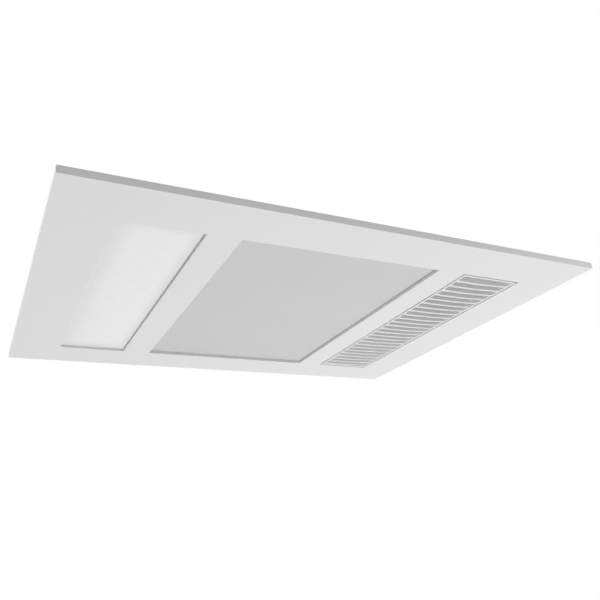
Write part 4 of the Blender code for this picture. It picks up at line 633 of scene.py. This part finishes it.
BLADES = 25
BLADE_PITCH = 0.0115
BLADE_STEPS = 18
BLADE_TOP = 0.0070
BLADE_LOW = -0.0062
BLADE_LEAN = 0.0047 / (0.0070 + 0.0063)     # towards the far side, per height
BOW_START_X = 0.155                         # the blades bow to the right of this, and are lowest here
BLADE_LIFT = 0.0003                         # how far the lower edge rises to its right end
BLADE_SWING = 0.0024                        # how far the right end bends to the near side
BLADE_HALF, BLADE_TAPER = 0.0017, 0.0003    # half its width at the left end, and what it loses to the right
BLADE_TOP_HALF = 0.0006
BLADE_CORNER = 0.0003


def blade_section(x, off, half, middle):
    """A blade's section at x: a narrow flat band with rounded corners below, and a thin edge on top.

    The offset is 0 where the bow starts and 1 at the right end, and half is half the band's width.
    """
    z = BLADE_LOW + BLADE_LIFT * off * off
    swing = BLADE_SWING * max(off, 0.0) ** 2
    y = middle + (BLADE_TOP - z) * BLADE_LEAN - swing
    corner, inner = BLADE_CORNER, 0.3 * BLADE_CORNER
    return [
        (x, y - half, z + corner), (x, y - half + inner, z + inner), (x, y - half + corner, z),
        (x, y + half - corner, z), (x, y + half - inner, z + inner), (x, y + half, z + corner),
        (x, middle - swing + BLADE_TOP_HALF, BLADE_TOP), (x, middle - swing - BLADE_TOP_HALF, BLADE_TOP),
    ]


def make_grille():
    """The outlet grille: a thin frame, and bowed blades whose lower edges are narrow flat bands."""
    low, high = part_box("outlet_grille")
    gap = Vector((0.0007, 0.0007, 0.0))     # how much smaller its frame is than the solid's
    low, high = low + gap, high - gap
    wall = 0.0026
    splay = 0.0044                          # how far the right wall's top leans in
    # Distance into the frame, height and splay, over the outside, the lower edge and the inside.
    profile = [
        (0.0, high.z, 0.0), (0.0, low.z + 0.0004, 0.0), (0.00012, low.z + 0.00012, 0.0), (0.0004, low.z, 0.0),
        (0.0022, low.z, 0.0), (0.00248, low.z + 0.00012, 0.0), (wall, low.z + 0.0004, 0.0),
        (wall, low.z + 0.0068, splay), (wall, high.z, splay),
    ]
    corners = [(low.x, low.y, 1, 1), (high.x, low.y, -1, 1), (high.x, high.y, -1, -1), (low.x, high.y, 1, -1)]
    shape = Shape()
    shape.rings([
        [(x + sx * (d + (lean if sx < 0 else 0.0)), y + sy * d, z) for d, z, lean in profile]
        for x, y, sx, sy in corners
    ], closed=True)
    overlap = 0.0025                        # how far a blade's ends lie within the frame's outside
    x0, x1 = low.x + overlap, high.x - overlap
    for index in range(BLADES):
        middle = (index - BLADES // 2) * BLADE_PITCH
        rings = []
        for i in range(BLADE_STEPS + 1):
            x = x0 + (x1 - x0) * i / BLADE_STEPS
            off = (x - BOW_START_X) / (x1 - BOW_START_X)
            half = BLADE_HALF - BLADE_TAPER * i / BLADE_STEPS
            rings.append(blade_section(x, off, half, middle))
        shape.rings(rings)
    made = shape.piece("grille_moulding", "white_plastic", "base", 50)
    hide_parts("outlet_grille")


def frame_of(axis):
    """Two directions square to an axis, and the axis itself, all of length 1."""
    w = Vector(axis).normalized()
    u = Vector((0.0, 1.0, 0.0)) if abs(w.x) > 0.5 else Vector((1.0, 0.0, 0.0))
    return u, w.cross(u), w


def beside(place, axes, along, a, b, size):
    """The point at a distance along the axis, and at the size times a and b square to it."""
    u, v, w = axes
    return Vector(place) + w * along + (u * a + v * b) * size


def circle_point(place, axes, along, radius, turn):
    return beside(place, axes, along, math.cos(turn), math.sin(turn), radius)


def lathe(shape, place, axis, profile, sides=24, hollow=False):
    """A turned form. The profile gives radius and distance along the axis, and is closed if hollow."""
    axes = frame_of(axis)
    turns = [FULL_TURN * j / sides for j in range(sides)]
    rings = [[circle_point(place, axes, along, radius, t) for t in turns] for radius, along in profile]
    shape.rings(rings, closed=hollow)


def cross_outline(reach, half):
    """A cross with 24 points, in order round the middle."""
    points = []
    for c, s in ((1, 0), (0, 1), (-1, 0), (0, -1)):
        points += [(x * c - y * s, x * s + y * c) for x, y in ((reach, -half), (reach, half), (half, half))]
    full = []
    for i, point in enumerate(points):
        after = points[(i + 1) % len(points)]
        full += [point, ((point[0] + after[0]) / 2, (point[1] + after[1]) / 2)]
    return full


# A screw's proportions. Depths are shares of the head's height, measured from its top.
RECESS_REACH, RECESS_HALF = 0.52, 0.12      # the cross's arms, as shares of the head's radius
RECESS_FLOOR_SIZE = 0.62                    # the recess's floor, as a share of its mouth
RECESS_RIM, RECESS_FLOOR = 0.03, 0.75       # depths of its mouth and its floor
HEAD_DOME = ((0.66, 0.0), (0.86, 0.12), (0.97, 0.36), (1.0, 0.62))      # share of the head's radius, depth
HEAD_UNDERSIDE, WASHER_FACE = 0.70, 0.74    # depths
THREAD_ROWS = 5                     # rows of points per pitch
THREAD_DEPTH = 0.55                 # as a share of the pitch
TIP_SIZE, TIP_TAPER = 0.72, 0.28    # the tip's radius and what it lacks, as shares of the shank's
TIP_PITCHES = 2


def screw(shape, place, axis, head, height, shank, length, pitch, washer=0.0):
    """A pan head with a cross recess at the place, and a threaded shank that runs along the axis."""
    axes = frame_of(axis)
    outline = cross_outline(head * RECESS_REACH, head * RECESS_HALF)
    angles = [math.atan2(y, x) for x, y in outline]

    def ring(radius, along):
        return [circle_point(place, axes, along, radius, t) for t in angles]

    def cross(size, along):
        return [beside(place, axes, along, x, y, size) for x, y in outline]

    rings = [cross(RECESS_FLOOR_SIZE, height * RECESS_FLOOR), cross(1.0, height * RECESS_RIM)]
    rings += [ring(head * size, height * depth) for size, depth in HEAD_DOME]
    if washer:
        rings += [ring(head, height * HEAD_UNDERSIDE), ring(washer, height * WASHER_FACE), ring(washer, height)]
    else:
        rings.append(ring(head, height))
    rows = max(2, int(length / (pitch / THREAD_ROWS)))
    for row in range(rows + 1):
        along = height + length * row / rows
        near_tip = min(1.0, (length + height - along) / (TIP_PITCHES * pitch))
        points = []
        for t in angles:
            phase = (along / pitch - t / FULL_TURN) % 1.0
            depth = abs(2 * phase - 1) * pitch * THREAD_DEPTH
            radius = (shank - depth) * (TIP_SIZE + TIP_TAPER * near_tip)
            points.append(circle_point(place, axes, along, radius, t))
        rings.append(points)
    shape.rings(rings)


CLAMP_SCREW = {"head": 0.0040, "height": 0.0030, "shank": 0.0025, "pitch": 0.0008}
FASCIA_SCREW = {"head": 0.0033, "height": 0.0022, "shank": 0.0018, "pitch": 0.0008, "washer": 0.0036}
COVER_SCREW = {"head": 0.0030, "height": 0.0018, "shank": 0.0015, "pitch": 0.0007}
EARTH_SCREW = {"head": 0.0038, "height": 0.0024, "shank": 0.0020, "length": 0.0008, "pitch": 0.0008}
COLLAR_SCREW = {"head": 0.0038, "height": 0.0025, "shank": 0.0019, "length": 0.0008, "pitch": 0.0008}
FAN_SCREW = {"head": 0.0033, "height": 0.0020, "shank": 0.0016, "length": 0.0006, "pitch": 0.0007}
CLAMP_WASHER = [(0.0026, 0.0113), (0.0041, 0.0113), (0.0041, 0.0118), (0.0026, 0.0118)]


def screw_in_room(node, axis, sizes):
    """A screw as long as its node, with the head at the node's lower end, and the head's place."""
    low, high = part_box(node)
    k = axis.index(1)
    place = (low + high) / 2
    place[k] = low[k]
    shape = Shape()
    screw(shape, place, axis, length=high[k] - low[k] - sizes["height"], **sizes)
    return shape, place


def make_screws():
    """Every screw gets a head with a recess and a thread, in its node's own room."""
    for number in range(1, 5):
        node = f"clamp_screw_{number}"
        shape, place = screw_in_room(node, ALONG_Z, CLAMP_SCREW)
        lathe(shape, (place.x, place.y, 0), ALONG_Z, CLAMP_WASHER, hollow=True)
        made = shape.piece(f"clamp_thread_{number}", "steel", f"clamp_{number}_screw", 35)
        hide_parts(node)
        node = f"fascia_screw_{number}"
        shape, place = screw_in_room(node, ALONG_Z, FASCIA_SCREW)
        made = shape.piece(f"fascia_fastener_{number}", "steel", "base", 35)
        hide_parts(node)
    for number in (1, 2):
        node = f"cover_screw_{number}"
        shape, place = screw_in_room(node, ALONG_Y, COVER_SCREW)
        made = shape.piece(f"cover_fastener_{number}", "steel", "base", 35)
        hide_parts(node)


def bar(shape, low, high, chamfer):
    """A bar along Y with all its edges chamfered."""
    rings = []
    for y, cut in ((low[1], chamfer), (low[1] + chamfer, 0.0), (high[1] - chamfer, 0.0), (high[1], chamfer)):
        x0, z0, x1, z1 = low[0] + cut, low[2] + cut, high[0] - cut, high[2] - cut
        rings.append([
            (x0, y, z0 + chamfer), (x0 + chamfer, y, z0), (x1 - chamfer, y, z0), (x1, y, z0 + chamfer),
            (x1, y, z1 - chamfer), (x1 - chamfer, y, z1), (x0 + chamfer, y, z1), (x0, y, z1 - chamfer),
        ])
    shape.rings(rings)


HUB_BORE, HUB_RADIUS, HUB_HEIGHT = 0.0028, 0.0062, 0.010
HUB_BORE_EDGE, HUB_EDGE = 0.0004, 0.0006
ARM_CHAMFER = 0.0003
ARM_HEIGHT = 0.006                      # from the channel's floor to the hub's top
ARM_RIBS = (0.0115, 0.0195, 0.0275)     # from the screw's axis
TEETH, TOOTH_PITCH, TOOTH_WIDTH = 5, 0.0020, 0.0017
TOOTH_HALF_LENGTH = 0.0046
TOOTH_STEPS = ((0.0012, 0.0), (0.0006, 0.0001), (0.0, 0.0006))     # height and inset


def make_clamp_arms():
    """Moulded clamp arms: a hub with a bore, a ribbed channel and a foot with a toothed sole."""
    for number in range(1, 5):
        node = f"clamp_arm_{number}"
        low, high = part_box(node)
        screw_low, screw_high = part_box(f"clamp_screw_{number}")
        x, y = (low.x + high.x) / 2, (screw_low.y + screw_high.y) / 2
        end = 1 if y > 0 else -1
        reach = (high.y if end > 0 else -low.y) - abs(y)
        top = high.z
        shape = Shape()
        # Radius and height, round the hub's section.
        hub = [
            (HUB_BORE, top - HUB_HEIGHT + HUB_BORE_EDGE), (HUB_BORE + HUB_BORE_EDGE, top - HUB_HEIGHT),
            (HUB_RADIUS - HUB_EDGE, top - HUB_HEIGHT), (HUB_RADIUS, top - HUB_HEIGHT + HUB_EDGE),
            (HUB_RADIUS, top - HUB_EDGE), (HUB_RADIUS - HUB_EDGE, top),
            (HUB_BORE + HUB_BORE_EDGE, top), (HUB_BORE, top - HUB_BORE_EDGE),
        ]
        lathe(shape, (x, y, 0), ALONG_Z, hub, 36, True)

        def part(x0, x1, start, stop, z0, z1):
            """A bar from start to stop outwards from the screw's axis."""
            near, far = sorted((y + end * start, y + end * stop))
            bar(shape, (x + x0, near, z0), (x + x1, far, z1), ARM_CHAMFER)

        floor = top - ARM_HEIGHT
        part(-0.0049, 0.0049, 0.0042, reach, floor, floor + 0.0022)
        for x0, x1 in ((-0.0050, -0.0034), (0.0034, 0.0050)):
            part(x0, x1, 0.0022, reach, floor + 0.0001, top - 0.0004)
        part(-0.0049, 0.0049, reach - 0.0018, reach, floor + 0.0002, top - 0.0004)
        for place in ARM_RIBS:
            part(-0.0040, 0.0040, place, place + 0.0013, floor + 0.0010, top - 0.0012)
        part(-0.0048, 0.0048, reach - 0.0099, reach - 0.0001, low.z + 0.0009, floor + 0.0010)
        for step in range(TEETH):
            start = reach - 0.0097 + step * TOOTH_PITCH
            rings = []
            for rise, inset in TOOTH_STEPS:
                x0, x1 = x - TOOTH_HALF_LENGTH + inset, x + TOOTH_HALF_LENGTH - inset
                y0, y1 = y + end * (start + inset), y + end * (start + TOOTH_WIDTH - inset)
                z = low.z + rise
                rings.append([(x0, y0, z), (x1, y0, z), (x1, y1, z), (x0, y1, z)])
            shape.rings(rings)
        made = shape.piece(f"clamp_moulding_{number}", "grey_plastic", f"clamp_{number}_arm", 25)
        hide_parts(node)


# Profiles of turned details, as radius and distance along the axis.
RIVET = [
    (0.0034, -0.00005), (0.0034, 0.0003), (0.0031, 0.0007), (0.0023, 0.0010), (0.0014, 0.0011),
    (0.0012, 0.0009), (0.0011, 0.0003), (0.0005, 0.0003),
]
BLANK_RING = [
    (0.0098, -0.0001), (0.0098, 0.0002), (0.0102, 0.0004), (0.0112, 0.0004), (0.0116, 0.0002), (0.0116, -0.0001),
]
BLANK_DIMPLE = [(0.0016, -0.0001), (0.0014, 0.0004), (0.0006, 0.0005)]
FLAP_RING = [
    (0.0405, -0.0001), (0.0405, 0.0006), (0.0409, 0.0009), (0.0421, 0.0009), (0.0425, 0.0006), (0.0425, -0.0001),
]
# The same for beads, measured from the wall they stand on and from their own middle.
DUCT_BEAD = (
    (-0.0002, -0.0016), (0.0004, -0.0011), (0.0008, -0.0004), (0.0008, 0.0004), (0.0004, 0.0011), (-0.0002, 0.0016),
)
MOTOR_BEAD = ((-0.0002, -0.0012), (0.0004, -0.0008), (0.0006, 0.0), (0.0004, 0.0008), (-0.0002, 0.0012))


def bead(shape, place, axis, radius, along, offsets, sides):
    profile = [(radius + out, along + on) for out, on in offsets]
    lathe(shape, place, axis, profile, sides, True)


END_WALL_Y = 0.1560                     # outside of the casing's end walls
SEAM_Y = 0.149                          # the rivets' row beside each end wall
RIVET_HEIGHTS = (0.030, 0.080, 0.130)
RIVET_XS = (-0.165, -0.055, 0.055, 0.165)
BLANK_XS, BLANK_Z = (0.085, -0.095), 0.117
EARTH_X, EARTH_Z = 0.063, 0.135
WASHER_TEETH = 12
WASHER_RADII = (0.0052, 0.0044)         # at a tooth and between two teeth


def make_casing_fixings():
    """Blind rivets along the casing's seams, and an earth screw and two blanked cable holes on its near wall."""
    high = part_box("casing_end_near")[1]
    rivets = Shape()
    for end in (-1, 1):
        for z in RIVET_HEIGHTS:
            for way in (-1, 1):
                lathe(rivets, (way * high.x, end * SEAM_Y, z), (way, 0, 0), RIVET, 16)
        for x in RIVET_XS:
            lathe(rivets, (x, end * SEAM_Y, high.z), ALONG_Z, RIVET, 16)
    rivets.piece("casing_rivets", "aluminium", "base")
    blanks = Shape()
    for x in BLANK_XS:
        place = (x, -END_WALL_Y, BLANK_Z)
        lathe(blanks, place, AGAINST_Y, BLANK_RING, 36, True)
        lathe(blanks, place, AGAINST_Y, BLANK_DIMPLE, 16)
    blanks.piece("cable_hole_blanks", "zinc_sheet", "base")
    earth = Shape()
    screw(earth, (EARTH_X, -END_WALL_Y - 0.0034, EARTH_Z), ALONG_Y, **EARTH_SCREW)
    earth.piece("earth_screw", "steel", "base", 35)
    washer = Shape()
    axes = frame_of(AGAINST_Y)
    count = 4 * WASHER_TEETH
    washer.rings([
        [circle_point((EARTH_X, -END_WALL_Y, EARTH_Z), axes, along, WASHER_RADII[j % 4 // 2], FULL_TURN * j / count)
         for j in range(count)]
        for along in (0.0001, 0.0009)
    ])
    washer.piece("earth_washer", "steel", "base", 35)


def spoke(turn):
    """Directions out from an axis along X and round it."""
    out = Vector((0, math.cos(turn), math.sin(turn)))
    side = Vector((0, -math.sin(turn), math.cos(turn)))
    return out, side


COLLAR_RADIUS = 0.0490
COLLAR_PLATE = 0.0030                   # the plate's thickness
BEAD_PLACES = (0.0405, 0.0345)          # from the plate
COLLAR_RIBS = 8
COLLAR_RIB_STEPS = ((-0.0009, 0.0003), (-0.0006, 0.0), (0.0006, 0.0), (0.0009, 0.0003))     # place, chamfer
COLLAR_SCREW_OFFSET = 0.0455
FLAP_BACK = 0.0006                      # from the flap's middle to its face
FLAP_RIB_HEIGHTS = (0.0, -0.013, -0.026)
FLAP_RIB_REACH = 0.0404
FLAP_RIB = [
    (0.0001, -0.0010), (-0.0006, -0.0010), (-0.0009, -0.0006), (-0.0009, 0.0006), (-0.0006, 0.0010), (0.0001, 0.0010),
]


def make_collar_details():
    """Ribs, duct beads and fixing screws on the duct collar, and ribs on its flap."""
    low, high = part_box("duct_spigot")
    y, z = (low.y + high.y) / 2, (low.z + high.z) / 2
    plate = high.x - COLLAR_PLATE
    ribs = Shape()
    for along in BEAD_PLACES:
        bead(ribs, (plate, y, z), AGAINST_X, COLLAR_RADIUS, along, DUCT_BEAD, 72)
    foot = COLLAR_RADIUS - 0.0003
    for index in range(COLLAR_RIBS):
        out, side = spoke(FULL_TURN * (index + 0.5) / COLLAR_RIBS)
        rings = []
        for half, cut in COLLAR_RIB_STEPS:
            corners = [
                (foot, 0.0002), (COLLAR_RADIUS + 0.0062 - cut, 0.0002), (COLLAR_RADIUS + 0.0062 - cut, -0.0012 + cut),
                (COLLAR_RADIUS + 0.0012 - cut, -0.0090 + cut), (foot, -0.0095 + cut),
            ]
            rings.append([Vector((plate + x, y, z)) + out * r + side * half for r, x in corners])
        ribs.rings(rings)
    ribs.piece("collar_ribs", "white_plastic", "base", 40)
    screws = Shape()
    for sy in (-1, 1):
        for sz in (-1, 1):
            place = (plate - 0.0026, y + sy * COLLAR_SCREW_OFFSET, z + sz * COLLAR_SCREW_OFFSET)
            screw(screws, place, ALONG_X, **COLLAR_SCREW)
    screws.piece("collar_screws", "steel", "base", 35)
    flap_low, flap_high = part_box("damper_flap")
    face = (flap_low.x + flap_high.x) / 2 - FLAP_BACK
    flap = Shape()
    lathe(flap, (face, y, z), AGAINST_X, FLAP_RING, 72, True)
    for height in FLAP_RIB_HEIGHTS:
        half = math.sqrt(FLAP_RIB_REACH ** 2 - height ** 2)
        flap.rings([[Vector((face + a, y + end * half, z + height + b)) for a, b in FLAP_RIB] for end in (-1, 1)])
    flap.piece("damper_ribs", "grey_plastic", "damper", 40)


# Loops of the wiring cover's relief: inset from the edge, corner radius and height over the face.
COVER_BORDER = (
    (0.0013, 0.0024, -0.0001), (0.0013, 0.0024, 0.0005), (0.0016, 0.0022, 0.0008),
    (0.0022, 0.0018, 0.0008), (0.0025, 0.0016, 0.0005), (0.0025, 0.0016, -0.0001),
)
COVER_FIELD = ((0.0120, 0.0030, -0.0001), (0.0120, 0.0030, 0.0004), (0.0124, 0.0027, 0.0007))
CORNER_STEPS = 4
GLAND_GRIPS, GLAND_RADIUS = 18, 0.0105
GRIP_START, GRIP_END = 0.0056, 0.0138   # from the gland's left end


def make_wiring_details():
    """The wiring cover's raised border and field, and the grip on the gland's cap."""
    low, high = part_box("wiring_cover")
    corners = ((high.x, high.z, 1, 1), (low.x, high.z, -1, 1), (low.x, low.z, -1, -1), (high.x, low.z, 1, -1))

    def loop(inset, radius, rise):
        points = []
        for quarter, (x, z, sx, sz) in enumerate(corners):
            middle_x = x - sx * (inset + radius)
            middle_z = z - sz * (inset + radius)
            for step in range(CORNER_STEPS + 1):
                t = math.radians(90 * quarter + 90 / CORNER_STEPS * step)
                points.append((middle_x + radius * math.cos(t), low.y - rise, middle_z + radius * math.sin(t)))
        return points

    relief = Shape()
    relief.rings([loop(*row) for row in COVER_BORDER], closed=True)
    relief.rings([loop(*row) for row in COVER_FIELD])
    relief.piece("cover_relief", "grey_plastic", "base", 20)
    low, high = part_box("cable_gland")
    y, z = (low.y + high.y) / 2, (low.z + high.z) / 2
    start, end = low.x + GRIP_START, low.x + GRIP_END
    grip = Shape()
    for index in range(GLAND_GRIPS):
        out, side = spoke(FULL_TURN * index / GLAND_GRIPS)
        rings = []
        for x, rise in ((start, 0.0002), (start + 0.0010, 0.0008), (end - 0.0004, 0.0008), (end, 0.0005)):
            section = [
                (-0.0008, -0.0004), (0.0008, -0.0004), (0.0006, rise * 0.7), (0.0002, rise), (-0.0002, rise),
                (-0.0006, rise * 0.7),
            ]
            rings.append([Vector((x, y, z)) + side * a + out * (GLAND_RADIUS + b) for a, b in section])
        grip.rings(rings)
    grip.piece("gland_grip", "black_plastic", "base", 40)


FAN_Y = -0.010                          # the exhaust fan's axis
FAN_HEAD = 0.0021                       # from a screw head's top to the sheet it holds
SPIRAL_START, SPIRAL_TURN = 140, 310    # degrees: where the scroll's spiral starts, and how far it runs
SPIRAL_RADIUS = 0.082                   # at its start
SPIRAL_MARGIN = 0.006                   # from its end to the inlet plate's far edge
SPIRAL_SCREWS = (172, 215, 260, 305, 350, 395, 437)
SPIRAL_SCREW_OUT = 0.0026               # from the spiral to the screws outside it
BRACKET_LEGS = (90, 210, 330)
BRACKET_SCREWS = ((0.0680, 0.0), (0.0220, math.pi / 3))     # radius, and turn from a leg
MOTOR_BEAD_HEIGHTS = (0.0690, 0.1085)


def make_fan_fixings():
    """Screws that hold the inlet plate, the bracket and the motor, and the motor can's crimped beads."""
    low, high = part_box("inlet_plate")
    bracket_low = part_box("motor_bracket")[0]
    motor_low, motor_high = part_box("exhaust_motor")
    x, y = (motor_low.x + motor_high.x) / 2, FAN_Y
    screws = Shape()

    def fan_screw(radius, turn, sheet):
        place = (x + radius * math.cos(turn), y + radius * math.sin(turn), sheet - FAN_HEAD)
        screw(screws, place, ALONG_Z, **FAN_SCREW)

    growth = high.y - y - SPIRAL_MARGIN - SPIRAL_RADIUS
    for angle in SPIRAL_SCREWS:
        radius = SPIRAL_RADIUS + growth * (angle - SPIRAL_START) / SPIRAL_TURN + SPIRAL_SCREW_OUT
        fan_screw(radius, math.radians(angle), low.z)
    for angle in BRACKET_LEGS:
        for radius, turn in BRACKET_SCREWS:
            fan_screw(radius, math.radians(angle) + turn, bracket_low.z)
    screws.piece("fan_screws", "steel", "base", 35)
    beads = Shape()
    can = (motor_high.x - motor_low.x) / 2
    for z in MOTOR_BEAD_HEIGHTS:
        bead(beads, (x, y, 0), ALONG_Z, can, z, MOTOR_BEAD, 60)
    beads.piece("motor_beads", "steel", "base", 40)


make_camera()
make_world()
make_stage()
make_lamps()
dress_nodes()
make_grille()
make_screws()
make_clamp_arms()
make_casing_fixings()
make_collar_details()
make_wiring_details()
make_fan_fixings()

bpy.context.scene.view_settings.view_transform = "Standard"
bpy.context.view_layer.update()
